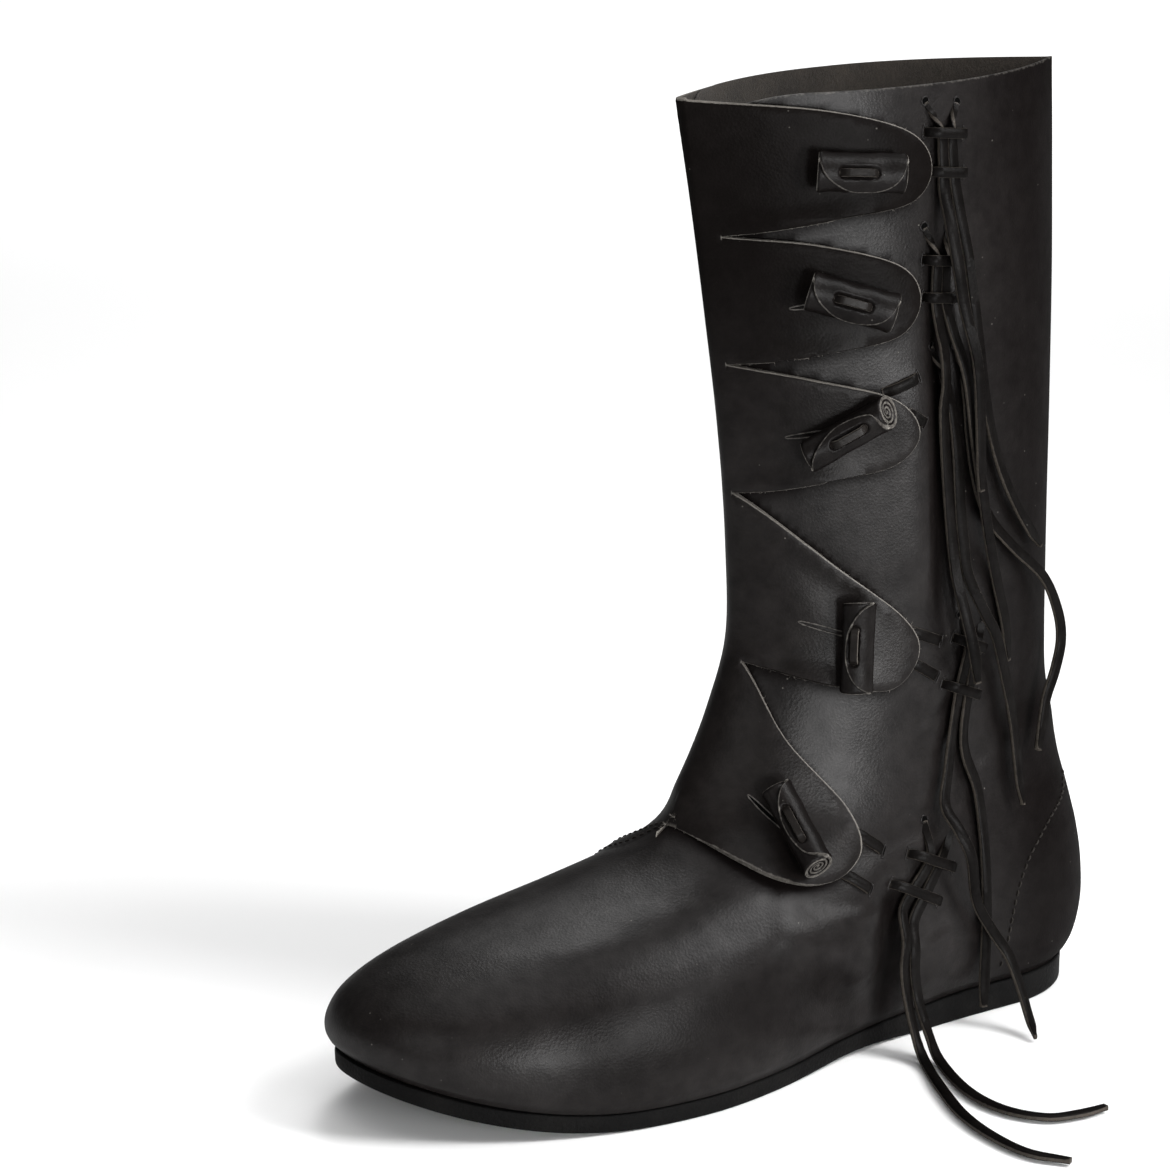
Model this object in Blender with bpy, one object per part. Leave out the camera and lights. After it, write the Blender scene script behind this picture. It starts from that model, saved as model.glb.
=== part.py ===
"""Left viking boot of black leather: hollow upper, sole, five flaps with rolled toggles, thongs.

Lengths are millimetres until a mesh is made. "fore" is the distance forward of the sole's back
edge, "out" is towards the wearer's outer side (+X) and "up" is the height above the floor.
The upper is a stack of tilted rings from the sole's edge to the collar. Each ring runs from its
front point along the outer side to its back point, and forward again along the inner side.
"""
from collections import namedtuple

import bmesh
import bpy
import numpy as np
from mathutils.geometry import delaunay_2d_cdt

MM = 0.001

# Driving sizes
SOLE_LENGTH = 285.0
FOREFOOT_THICK = 6.0
HEEL_THICK = 10.0
HEEL_END = 60.0
HEEL_RUN_OUT = 60.0
TOE_SPRING = 16.0
TOE_SPRING_FROM = 205.0
ARCH_LIFT = 1.5
ARCH_FROM = 76.0
ARCH_TO = 150.0
WALL = 2.2
GAP = 0.3
INSOLE_THICK = 3.0
SOLE_CORNER = 0.8
SOLE_INSET = 0.2
WELT_CORNER = 0.5
WELT_INSET = 0.1
SCORE_DOWN = 2.6
SCORE_DEEP = 0.5
SCORE_HALF = 0.4
BOARD_CLEAR = 0.5
FLAP_THICK = 2.2
FLAP_GAP = 0.6
THONG_ROUND = 2.8
BAR_WIDE = 4.0
BAR_THICK = 1.4

# How finely the upper is cut: faces round a ring, and runs of rows from ring to ring
COLUMNS = 40
ROW_RUNS = [(0.0, 7.0, 11), (7.0, 13.0, 16), (13.0, 17.0, 5)]

# Rings of the foot. front, back: fore and up of the ring's ends; toe_in: how far the tip swings
# inward; ball and half: where each side is widest, and by how much; waist: how much each side is
# drawn in behind the ball; heel: half width there; blunt: 2 is an ellipse, 1 a sharp fold;
# follow: how far the ring follows the sole's rise at the toe.
FootRing = namedtuple("FootRing", "front front_up back back_up toe_in ball_out half_out waist_out "
                      "ball_in half_in waist_in heel heel_at blunt_front blunt_back follow")
FOOT = [
    FootRing(283.5, 21.0, 0.5, 10.0, 9, 188, 52.0, 4.0, 212, 47.5, 13.0, 32.0, 40, 2.15, 2.10, 1.00),
    FootRing(287.0, 26.5, -4.5, 18.0, 9, 188, 53.0, 3.5, 212, 48.0, 11.0, 35.0, 40, 2.15, 2.10, 0.80),
    FootRing(287.0, 33.5, -7.0, 30.0, 9, 186, 52.5, 2.5, 208, 46.5, 8.0, 36.5, 40, 2.10, 2.10, 0.50),
    FootRing(282.5, 41.0, -6.5, 44.0, 9, 180, 49.5, 0.5, 200, 43.0, 4.0, 36.0, 40, 2.10, 2.10, 0.25),
    FootRing(272.0, 47.5, -5.0, 56.0, 9, 170, 45.5, -1.0, 188, 38.5, 1.0, 34.5, 40, 2.05, 2.00, 0.10),
    FootRing(254.0, 53.0, -3.0, 65.0, 8, 155, 41.0, -2.0, 170, 35.0, 0.0, 33.0, 42, 2.00, 1.95, 0.0),
    FootRing(230.0, 58.5, -1.0, 73.0, 6, 135, 38.0, -2.0, 146, 33.0, 0.0, 31.5, 44, 1.90, 1.90, 0.0),
    FootRing(203.0, 64.5, 1.0, 81.0, 3, 115, 35.5, -1.0, 122, 32.0, 0.0, 30.0, 48, 1.78, 1.85, 0.0),
    FootRing(181.0, 71.5, 2.5, 89.0, 1, 100, 34.0, 0.0, 104, 31.0, 0.0, 29.5, 52, 1.65, 1.80, 0.0),
    FootRing(165.5, 81.0, 4.0, 99.0, 0, 90, 32.5, 0.0, 92, 30.5, 0.0, 29.5, 56, 1.58, 1.75, 0.0),
]

# Rings of the shaft, which is folded flat at front and back: plain lenses, sharper towards the collar
ShaftRing = namedtuple("ShaftRing", "front front_up back back_up half_out half_in blunt")
SHAFT = [
    ShaftRing(154.5, 97.0, 5.0, 111.0, 31.5, 30.5, 1.55),
    ShaftRing(145.0, 117.0, 5.8, 126.0, 31.0, 30.5, 1.50),
    ShaftRing(138.0, 140.0, 6.0, 146.0, 30.5, 30.5, 1.45),
    ShaftRing(138.5, 170.0, 6.0, 174.0, 31.0, 31.0, 1.38),
    ShaftRing(142.3, 210.0, 5.7, 212.0, 31.5, 31.5, 1.30),
    ShaftRing(148.7, 252.0, 5.5, 253.0, 30.5, 31.0, 1.20),
    ShaftRing(155.0, 290.0, 6.5, 291.0, 28.5, 30.0, 1.10),
    ShaftRing(160.9, 321.5, 7.9, 323.0, 26.0, 28.5, 1.00),
]
SHAFT_WIDEST = 0.52

# Flaps, as fore and up on the outer side: the notch above, a point on the upper edge, the upper
# shoulder, the tip, the lower shoulder and a point on the lower edge. The next flap's notch ends it.
Flap = namedtuple("Flap", "notch upper shoulder tip low_shoulder lower")
FLAPS = [
    Flap((160.9, 321.0), (121.6, 316.8), (94.0, 308.5), (85.6, 297.0), (93.0, 286.0), (118.0, 282.0)),
    Flap((148.6, 276.9), (123.0, 273.9), (97.5, 266.0), (90.0, 254.5), (97.0, 243.2), (118.0, 238.8)),
    Flap((144.3, 234.6), (122.0, 229.6), (98.5, 222.4), (90.2, 211.0), (97.5, 200.6), (118.0, 196.0)),
    Flap((139.8, 191.2), (116.0, 168.3), (92.8, 148.2), (87.2, 135.0), (97.0, 124.0), (116.4, 126.4)),
    Flap((137.6, 133.6), (131.0, 109.0), (116.0, 86.0), (115.0, 71.5), (128.0, 64.2), (148.0, 67.2)),
]
THROAT = (164.9, 80.7)
FLAP_WRAP = 3.0 / 40.0
FLAP_SKIVED = 0.5
WRAP_RISE = 4.0
WRAP_LAP = 1.2
WRAP_STEPS = 24
FLAP_EDGE_STEPS = 22
FLAP_GRID = 8.0
FLAP_GRID_CLEAR = 3.0
FLAP_COLUMNS = range(-2, 11)
COLLAR_CLEAR = 0.2
PATTERN_STRETCH = np.array([300.0, 1.0])

# Toggles: fore and up of the middle, the turn of the axis from level, rear end up, and how far
# the bow of the flap under the middle lifts it, or lowers it
Toggle = namedtuple("Toggle", "fore up turn lift")
TOGGLES = [
    Toggle(112.5, 297.0, -4.0, -0.4),
    Toggle(114.3, 255.8, -17.0, -0.6),
    Toggle(114.0, 213.4, 28.0, -0.3),
    Toggle(109.5, 140.5, 88.0, 0.4),
    Toggle(136.6, 78.5, -76.0, 2.4),
]
TOGGLE_LONG = 30.0
TOGGLE_RADIUS = 5.6
TOGGLE_WRAP = 1.3
TOGGLE_SIDES = 16
TOGGLE_BEVEL = 0.7
LOOP_LONG = 14.0
LOOP_WIDE = 3.2
LOOP_THICK = 1.4
LOOP_RISE = 0.9

# Short thong lengths from a flap's edge to a slit in the shaft: fore and up of both ends
Tab = namedtuple("Tab", "start end")
TABS = [
    Tab((97.2, 225.0), (88.6, 228.2)),
    Tab((89.0, 214.6), (86.0, 212.6)),
    Tab((85.6, 140.9), (75.0, 136.4)),
    Tab((85.4, 129.9), (77.0, 124.6)),
    Tab((112.4, 77.0), (103.0, 69.9)),
    Tab((119.0, 64.4), (111.5, 59.0)),
]
TAB_WIDE = 4.2
TAB_THICK = 1.4

# Bars that hold the thong ends to the side: fore and up of both ends
Bar = namedtuple("Bar", "name start end")
BARS = [
    Bar("keeper_1_upper", (85.0, 307.3), (68.6, 305.5)),
    Bar("keeper_1_lower", (84.4, 294.7), (69.0, 293.0)),
    Bar("keeper_2_upper", (86.4, 266.4), (73.2, 264.9)),
    Bar("keeper_2_lower", (86.4, 254.2), (73.2, 252.7)),
    Bar("keeper_4_upper", (69.6, 136.8), (55.4, 130.6)),
    Bar("keeper_4_lower", (74.6, 121.8), (58.4, 115.2)),
    Bar("keeper_5_upper", (92.8, 67.2), (72.8, 58.0)),
    Bar("keeper_5_lower", (101.2, 58.8), (80.4, 48.2)),
]
BAR_CLEAR = 3.8
BAR_FOOT = 2.6
BAR_BOW = 0.2
BAR_KNEE = (0.55, 0.62)

# Raised seam of vamp and inner quarter, as fore and up on the inner side
SEAM = [(157.0, 76.0), (164.0, 63.0), (165.0, 48.0), (158.0, 31.0), (147.0, 16.0)]
SEAM_WIDE = 7.0
SEAM_THICK = 1.2
SEAM_STEPS = 14
SEAM_GAP = 0.45

# Thong ends. On: fore, up and height above the outer side. At: out, fore and up in free air.
On = namedtuple("On", "fore up off")
At = namedtuple("At", "out fore up")
THONGS = {
    "thong_1_front": [On(84.0, 316.6, 1.8), On(80.0, 308.0, 1.9), On(79.2, 298.0, 1.9), On(79.1, 288.0, 2.0),
                      On(79.0, 277.0, 5.2), On(77.4, 264.0, 7.3), On(74.4, 250.0, 7.4), On(70.6, 232.6, 8.7),
                      On(68.2, 212.4, 8.7), On(66.6, 188.4, 8.2)],
    "thong_1_rear": [On(71.0, 315.4, 1.8), On(75.2, 307.2, 1.9), On(74.9, 293.4, 1.9), On(73.2, 283.0, 2.0),
                     On(70.8, 272.0, 2.2), On(69.0, 263.0, 2.4), On(66.0, 241.7, 2.8), On(61.6, 217.8, 3.0),
                     On(55.2, 196.6, 3.0), On(45.6, 179.4, 3.2), On(29.0, 161.2, 3.0)],
    "thong_2_front": [On(85.6, 276.4, 1.8), On(82.4, 267.0, 1.9), On(82.0, 253.4, 1.9), On(80.8, 244.0, 3.6),
                      On(79.8, 236.0, 5.6), On(78.8, 225.0, 5.4), On(77.8, 213.4, 3.4), On(74.0, 181.7, 2.6),
                      On(71.4, 160.0, 3.6), On(69.6, 146.0, 6.8), On(67.4, 134.0, 7.4),
                      On(65.8, 122.0, 7.4)],
    "thong_2_rear": [On(76.2, 275.4, 1.8), On(78.0, 266.2, 1.9), On(77.6, 253.0, 1.9), On(75.4, 243.0, 3.4),
                     On(71.6, 227.0, 5.4), On(67.0, 205.0, 5.4), On(63.4, 188.0, 5.4), On(59.2, 169.5, 5.2),
                     On(52.4, 153.8, 2.4), On(47.2, 138.3, 1.9), On(45.2, 124.6, 1.9)],
    "thong_3_front": [On(81.6, 237.0, 1.8), On(75.6, 223.0, 1.9), On(72.2, 205.0, 1.9), On(69.8, 181.0, 1.9),
                      On(68.4, 170.0, 2.2), On(66.4, 158.5, 2.8), On(59.6, 144.2, 5.2), On(55.8, 138.0, 5.6),
                      On(52.6, 131.6, 4.8), On(48.6, 120.0, 4.0), On(44.4, 103.1, 4.0), On(41.9, 81.6, 4.0),
                      On(41.2, 73.0, 4.0)],
    "thong_3_rear": [On(71.8, 236.0, 1.8), On(69.0, 222.0, 1.9), On(66.0, 205.0, 1.9), On(62.6, 190.0, 1.9),
                     On(57.0, 177.0, 1.9), On(46.0, 165.0, 2.6), At(26.0, 27.6, 151.0),
                     At(22.6, 17.6, 136.8), At(21.6, 14.6, 125.5), At(23.4, 18.4, 115.8),
                     At(27.0, 25.2, 107.8), At(30.2, 29.6, 100.2), At(33.2, 33.8, 92.0)],
    "thong_4_front": [On(66.6, 143.6, 1.8), On(64.5, 134.6, 1.9), On(68.8, 119.4, 1.9), On(70.8, 106.0, 2.2),
                      On(73.4, 91.5, 2.6), On(76.4, 80.0, 3.4), On(75.6, 71.0, 7.4), On(72.6, 62.3, 8.8),
                      On(68.2, 46.7, 6.0), On(60.7, 34.9, 6.2), At(45.4, 55.0, 26.0), At(49.4, 53.0, 16.0),
                      At(55.0, 53.6, 7.0), At(63.0, 57.0, 1.9)],
    "thong_4_rear": [On(55.2, 139.6, 1.8), On(60.1, 132.8, 1.9), On(64.2, 117.6, 1.9), On(65.6, 104.0, 1.9),
                     On(63.4, 94.6, 1.9), On(59.2, 83.0, 1.9), On(58.6, 70.3, 1.9), On(59.0, 57.0, 1.9),
                     On(59.4, 40.0, 1.9), At(38.8, 59.6, 18.0), At(39.6, 60.4, 6.4)],
    "thong_5_front": [On(83.4, 75.8, 1.8), On(84.9, 64.6, 1.9), On(93.0, 55.2, 1.9), On(97.0, 48.4, 2.2),
                      At(45.2, 99.6, 39.8), At(45.6, 100.6, 30.3), At(46.6, 99.8, 20.0),
                      At(52.0, 100.2, 8.0), At(60.0, 102.4, 2.0), At(80.0, 112.0, 1.9),
                      At(99.7, 119.9, 1.9), At(118.0, 123.5, 1.9), At(135.4, 123.0, 1.9),
                      At(148.0, 116.0, 1.9)],
    "thong_5_rear": [On(70.6, 70.8, 1.8), On(80.6, 61.8, 1.9), On(88.8, 51.8, 1.9), On(93.4, 44.0, 2.0),
                     At(44.6, 95.4, 36.0), At(45.2, 95.8, 28.0), At(46.8, 95.0, 18.0), At(53.0, 95.2, 7.6),
                     At(62.0, 97.6, 2.0), At(85.6, 106.0, 1.9), At(104.0, 106.6, 1.9), At(117.0, 99.6, 1.9),
                     At(121.0, 88.8, 1.9), At(121.6, 77.8, 1.9)],
}
THONG_STEP = 11.0

# Finishes, as colour, roughness
BLACK_LEATHER = ((0.020, 0.018, 0.017), 0.55)
RAW_LEATHER = ((0.060, 0.048, 0.040), 0.80)
BLACK_RUBBER = ((0.012, 0.012, 0.012), 0.70)


def unified_rows():
    """Foot and shaft rings under the same column names, as one array."""
    names = list(FootRing._fields)
    names[names.index("heel"):names.index("heel") + 1] = ["heel_out", "heel_in"]
    rows = []
    for ring in FOOT:
        row = ring._asdict()
        row["heel_out"] = row["heel_in"] = row.pop("heel")
        rows.append([row[name] for name in names])
    for ring in SHAFT:
        deep = ring.front - ring.back
        ball = ring.back + SHAFT_WIDEST * deep
        row = dict(front=ring.front, front_up=ring.front_up, back=ring.back, back_up=ring.back_up,
                   toe_in=0.0, ball_out=ball, half_out=ring.half_out, waist_out=0.0, ball_in=ball,
                   half_in=ring.half_in, waist_in=0.0, heel_out=ring.half_out, heel_in=ring.half_in,
                   heel_at=ring.back + (1.0 - SHAFT_WIDEST) * deep, blunt_front=ring.blunt,
                   blunt_back=ring.blunt, follow=0.0)
        rows.append([row[name] for name in names])
    return names, np.array(rows)


COLUMN_NAMES, RINGS = unified_rows()
COLLAR = len(RINGS) - 1.0


def smooth_rows(table, place):
    """Rows of a table at fractional places, on a smooth curve through all of its rows."""
    last = len(table) - 1
    place = np.clip(np.asarray(place, float), 0.0, last)
    low = np.minimum(np.floor(place).astype(int), last - 1)
    part = (place - low)[..., None]
    before, here, there, after = (table[np.clip(low + k, 0, last)] for k in (-1, 0, 1, 2))
    slope_here = np.where((low == 0)[..., None], there - here, (there - before) / 2)
    slope_there = np.where((low == last - 1)[..., None], there - here, (after - here) / 2)
    return ((2 * part**3 - 3 * part**2 + 1) * here + (part**3 - 2 * part**2 + part) * slope_here
            + (3 * part**2 - 2 * part**3) * there + (part**3 - part**2) * slope_there)


def ease(part):
    part = np.clip(part, 0.0, 1.0)
    return part * part * (3.0 - 2.0 * part)


def sole_under(fore):
    """Height of the tread: flat at heel and ball, a low arch between them, spring at the toe."""
    arch = np.clip((fore - ARCH_FROM) / (ARCH_TO - ARCH_FROM), 0.0, 1.0)
    spring = np.clip((fore - TOE_SPRING_FROM) / (SOLE_LENGTH - TOE_SPRING_FROM), 0.0, None)
    return ARCH_LIFT * np.sin(np.pi * arch)**2 + TOE_SPRING * spring**2


def sole_top(fore):
    """Height of the sole's upper face, thick under the heel and thin under the ball."""
    arch = np.clip((fore - ARCH_FROM) / (ARCH_TO - ARCH_FROM), 0.0, 1.0)
    spring = np.clip((fore - TOE_SPRING_FROM) / (SOLE_LENGTH - TOE_SPRING_FROM), 0.0, None)
    thick = HEEL_THICK + (FOREFOOT_THICK - HEEL_THICK) * ease((fore - HEEL_END) / HEEL_RUN_OUT)
    return thick + ARCH_LIFT * np.sin(np.pi * arch)**2 + TOE_SPRING * spring**2


def half_width(along, ring, side):
    """Half width of a ring from its front (0) to its back (1): toe curve, waist and heel curve."""
    deep = ring["front"] - ring["back"]
    ball = (ring["front"] - ring["ball_" + side]) / deep
    heel = np.maximum((ring["front"] - ring["heel_at"]) / deep, ball + 1e-6)
    wide, narrow = ring["half_" + side], ring["heel_" + side]
    toe = 1.0 - np.clip((ball - along) / ball, 0.0, 1.0)**2
    tail = 1.0 - np.clip((along - heel) / (1.0 - heel), 0.0, 1.0)**2
    middle = np.clip((along - ball) / (heel - ball), 0.0, 1.0)
    waist = ring["waist_" + side] * np.sin(np.pi * middle)**2
    return np.where(along < ball, wide * toe**(1.0 / ring["blunt_front"]),
                    np.where(along > heel, narrow * tail**(1.0 / ring["blunt_back"]),
                             wide + (narrow - wide) * ease(middle) - waist))


def surface(around, ring_at):
    """Point of the boot's outside. around: 0 front, 0.25 outer side, 0.5 back, 0.75 inner side."""
    around, ring_at = np.broadcast_arrays(np.asarray(around, float) % 1.0, np.asarray(ring_at, float))
    ring = dict(zip(COLUMN_NAMES, np.moveaxis(smooth_rows(RINGS, ring_at), -1, 0)))
    along = (1.0 - np.cos(2.0 * np.pi * around)) / 2.0
    fore = ring["front"] + (ring["back"] - ring["front"]) * along
    level = ring["front_up"] + (ring["back_up"] - ring["front_up"]) * along
    straight = FOOT[0].front_up + (FOOT[0].back_up - FOOT[0].front_up) * along
    up = level + ring["follow"] * (sole_top(np.clip(fore, 0.0, SOLE_LENGTH)) - straight)
    past_arch = np.clip((fore - ARCH_TO) / np.maximum(ring["front"] - ARCH_TO, 1.0), 0.0, 1.0)
    side = np.where(around <= 0.5, half_width(along, ring, "out"), -half_width(along, ring, "in"))
    out = side - ring["toe_in"] * past_arch**2
    return np.stack([out, -fore, up + GAP * ring["follow"]], -1)


def outward(around, ring_at):
    """Unit normal of the outside, averaged across the folds at front and back."""
    step, rise = 0.004, 0.02
    across = surface(around + step, ring_at) - surface(around - step, ring_at)
    along = (surface(around, np.clip(ring_at + rise, 0.0, COLLAR))
             - surface(around, np.clip(ring_at - rise, 0.0, COLLAR)))
    normal = np.cross(across, along)
    return normal / np.linalg.norm(normal, axis=-1, keepdims=True)


def ring_at_height(around, up):
    """Ring place whose point at this place around has the height up, by halving."""
    low, high = np.zeros_like(around), np.full_like(around, COLLAR)
    for _ in range(40):
        middle = (low + high) / 2.0
        below = surface(around, middle)[..., 2] < up
        low, high = np.where(below, middle, low), np.where(below, high, middle)
    return (low + high) / 2.0


def place_on_side(fore, up, side=1.0):
    """Place around and ring place of a point given by fore and up on the outer (1) or inner (-1) side."""
    fore, up = np.broadcast_arrays(np.asarray(fore, float), np.asarray(up, float))

    def around_at(ring_at):
        ends = smooth_rows(RINGS, ring_at)
        along = np.clip((ends[..., 0] - fore) / (ends[..., 0] - ends[..., 2]), 0.0, 1.0)
        return side * np.arccos(1.0 - 2.0 * along) / (2.0 * np.pi)

    low, high = np.zeros_like(fore), np.full_like(fore, COLLAR)
    for _ in range(40):
        middle = (low + high) / 2.0
        below = surface(around_at(middle), middle)[..., 2] < up
        low, high = np.where(below, middle, low), np.where(below, high, middle)
    ring_at = (low + high) / 2.0
    return around_at(ring_at), ring_at


def on_side(fore, up, off=0.0, side=1.0):
    """Point at a height off above the outer or inner side, given by fore and up, and its normal."""
    around, ring_at = place_on_side(fore, up, side)
    normal = outward(around, ring_at)
    return surface(around, ring_at) + np.asarray(off)[..., None] * normal, normal


def spread_evenly(line, count):
    """Points spread evenly along a line of many short steps."""
    run = np.concatenate([[0.0], np.cumsum(np.linalg.norm(np.diff(line, axis=0), axis=1))])
    stops = np.linspace(0.0, run[-1], count)
    return np.stack([np.interp(stops, run, line[:, k]) for k in range(line.shape[1])], 1)


def smooth_through(points, count):
    """Points spread evenly along a smooth curve through the given ones."""
    points = np.asarray(points, float)
    return spread_evenly(smooth_rows(points, np.linspace(0.0, len(points) - 1.0, 40 * len(points))), count)


def finish_material(name, finish):
    material = bpy.data.materials.new(name)
    material.use_nodes = True
    shader = material.node_tree.nodes["Principled BSDF"]
    colour, roughness = finish
    shader.inputs["Base Color"].default_value = (*colour, 1.0)
    shader.inputs["Roughness"].default_value = roughness
    shader.inputs["Metallic"].default_value = 0.0
    return material


def add_solid(name, points, faces, finish, sharp=0.7):
    """Closed mesh object with its faces turned outwards."""
    mesh = bpy.data.meshes.new(name)
    mesh.from_pydata((np.asarray(points) * MM).tolist(), [], faces)
    shaped = bmesh.new()
    shaped.from_mesh(mesh)
    bmesh.ops.recalc_face_normals(shaped, faces=shaped.faces)
    if shaped.calc_volume(signed=True) < 0.0:
        bmesh.ops.reverse_faces(shaped, faces=shaped.faces)
    shaped.to_mesh(mesh)
    shaped.free()
    mesh.shade_smooth()
    mesh.set_sharp_from_angle(angle=sharp)
    mesh.materials.append(finish_material(name, finish))
    solid = bpy.data.objects.new(name, mesh)
    solid.parent = boot
    bpy.context.collection.objects.link(solid)
    return solid


def tube_faces(rings, sides, closed_ends=True):
    """Faces of a stack of rings of points, each ring with the same number of sides."""
    faces = []
    for row in range(rings - 1):
        for side in range(sides):
            after = (side + 1) % sides
            faces.append((row * sides + side, row * sides + after,
                          (row + 1) * sides + after, (row + 1) * sides + side))
    if closed_ends:
        faces.append(tuple(range(sides)))
        faces.append(tuple(range((rings - 1) * sides, rings * sides)))
    return faces


def strip(centres, normals, wide, thick):
    """Rings of a flat strap: centre line on its underside, normals up through its thickness."""
    centres, normals = np.asarray(centres), np.asarray(normals)
    ahead = np.gradient(centres, axis=0)
    across = np.cross(ahead, normals)
    across /= np.linalg.norm(across, axis=1, keepdims=True)
    half, rise = across * wide / 2.0, normals * thick
    corners = np.stack([centres - half, centres + half, centres + half + rise, centres - half + rise], 1)
    return corners.reshape(-1, 3)


def build_upper():
    """One hollow wall from the sole's edge to the collar, open above and below."""
    stops = np.unique(np.concatenate([np.linspace(low, high, cuts + 1) for low, high, cuts in ROW_RUNS]))
    rows = len(stops)
    around, ring_at = np.meshgrid(np.arange(COLUMNS) / COLUMNS, stops)
    outside = surface(around, ring_at)
    normal = outward(around, ring_at)
    normal[0, :, 2] = 0.0
    normal[0] /= np.linalg.norm(normal[0], axis=1, keepdims=True)
    beside = np.roll(outside, -1, axis=1) - outside
    beside /= np.linalg.norm(beside, axis=2, keepdims=True)
    lean = np.abs(np.sum(beside * normal, axis=2))
    mitre = 1.0 / np.sqrt(np.clip(1.0 - lean**2, 0.3, 1.0))
    inside = outside - normal * (WALL * mitre)[..., None]
    inside[0, :, 2] = outside[0, :, 2]
    inside[-1, :, 2] = outside[-1, :, 2]
    points = np.concatenate([outside.reshape(-1, 3), inside[::-1].reshape(-1, 3)])
    faces = tube_faces(2 * rows, COLUMNS, closed_ends=False)
    top = (2 * rows - 1) * COLUMNS
    for side in range(COLUMNS):
        after = (side + 1) % COLUMNS
        faces.append((top + side, top + after, after, side))
    add_solid("upper", points, faces, BLACK_LEATHER)


def sole_layer(inset, height):
    """Outline of the sole drawn in by inset, at a height given by a function of fore."""
    around = np.arange(COLUMNS) / COLUMNS
    edge = surface(around, np.zeros(COLUMNS))
    side = outward(around, np.zeros(COLUMNS))
    side[:, 2] = 0.0
    side /= np.linalg.norm(side, axis=1, keepdims=True)
    ring = edge - side * inset
    ring[:, 2] = height(np.clip(-ring[:, 1], 0.0, SOLE_LENGTH))
    return ring


def slab(name, layers, finish):
    """Solid between layers of the sole's outline, its two faces laid across from side to side."""
    faces = tube_faces(len(layers), COLUMNS, closed_ends=False)
    for start in (0, (len(layers) - 1) * COLUMNS):
        for side in range(COLUMNS // 2):
            loop = (side, side + 1, (COLUMNS - side - 1) % COLUMNS, (COLUMNS - side) % COLUMNS)
            corners = list(dict.fromkeys(start + corner for corner in loop))
            faces.append(tuple(corners))
    add_solid(name, np.concatenate(layers), faces, finish, sharp=0.5)


def build_sole():
    """Outsole with a scored line round its edge and eased corners, and the insole on it."""
    layers = [
        sole_layer(WELT_CORNER, sole_top),
        sole_layer(WELT_INSET, lambda fore: sole_top(fore) - WELT_CORNER),
        sole_layer(WELT_INSET, lambda fore: sole_top(fore) - SCORE_DOWN + SCORE_HALF),
        sole_layer(SCORE_DEEP, lambda fore: sole_top(fore) - SCORE_DOWN),
        sole_layer(SOLE_INSET, lambda fore: sole_top(fore) - SCORE_DOWN - SCORE_HALF),
        sole_layer(SOLE_INSET, lambda fore: sole_under(fore) + SOLE_CORNER),
        sole_layer(SOLE_INSET + SOLE_CORNER, sole_under),
    ]
    slab("outsole", layers, BLACK_RUBBER)
    inset = WALL + BOARD_CLEAR
    board = [
        sole_layer(inset, lambda fore: sole_top(fore) + GAP),
        sole_layer(inset, lambda fore: sole_top(fore) + GAP + INSOLE_THICK),
    ]
    slab("insole", board, RAW_LEATHER)


def flap_outline():
    """Edge of the front panel as places around and heights: inner wrap, collar, flaps, throat."""
    edge = []
    top = FLAPS[0].notch[1]
    for number, flap in enumerate(FLAPS):
        end = FLAPS[number + 1].notch if number + 1 < len(FLAPS) else THROAT
        points = smooth_through([*flap, end], 160)
        around, _ = place_on_side(points[:, 0], points[:, 1])
        cut = np.stack([around, points[:, 1]], 1) * PATTERN_STRETCH
        edge.extend(spread_evenly(cut, FLAP_EDGE_STEPS)[:-1] / PATTERN_STRETCH)
    wrap = np.linspace(0.0, -FLAP_WRAP, 4)
    edge.extend(np.stack([wrap, THROAT[1] + WRAP_LAP - WRAP_RISE * wrap / FLAP_WRAP], 1))
    for up in np.linspace(edge[-1][1], top, WRAP_STEPS)[1:]:
        edge.append(np.array([-FLAP_WRAP, up]))
    edge.extend((around, top) for around in wrap[2:0:-1])
    return np.array(edge)


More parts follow.
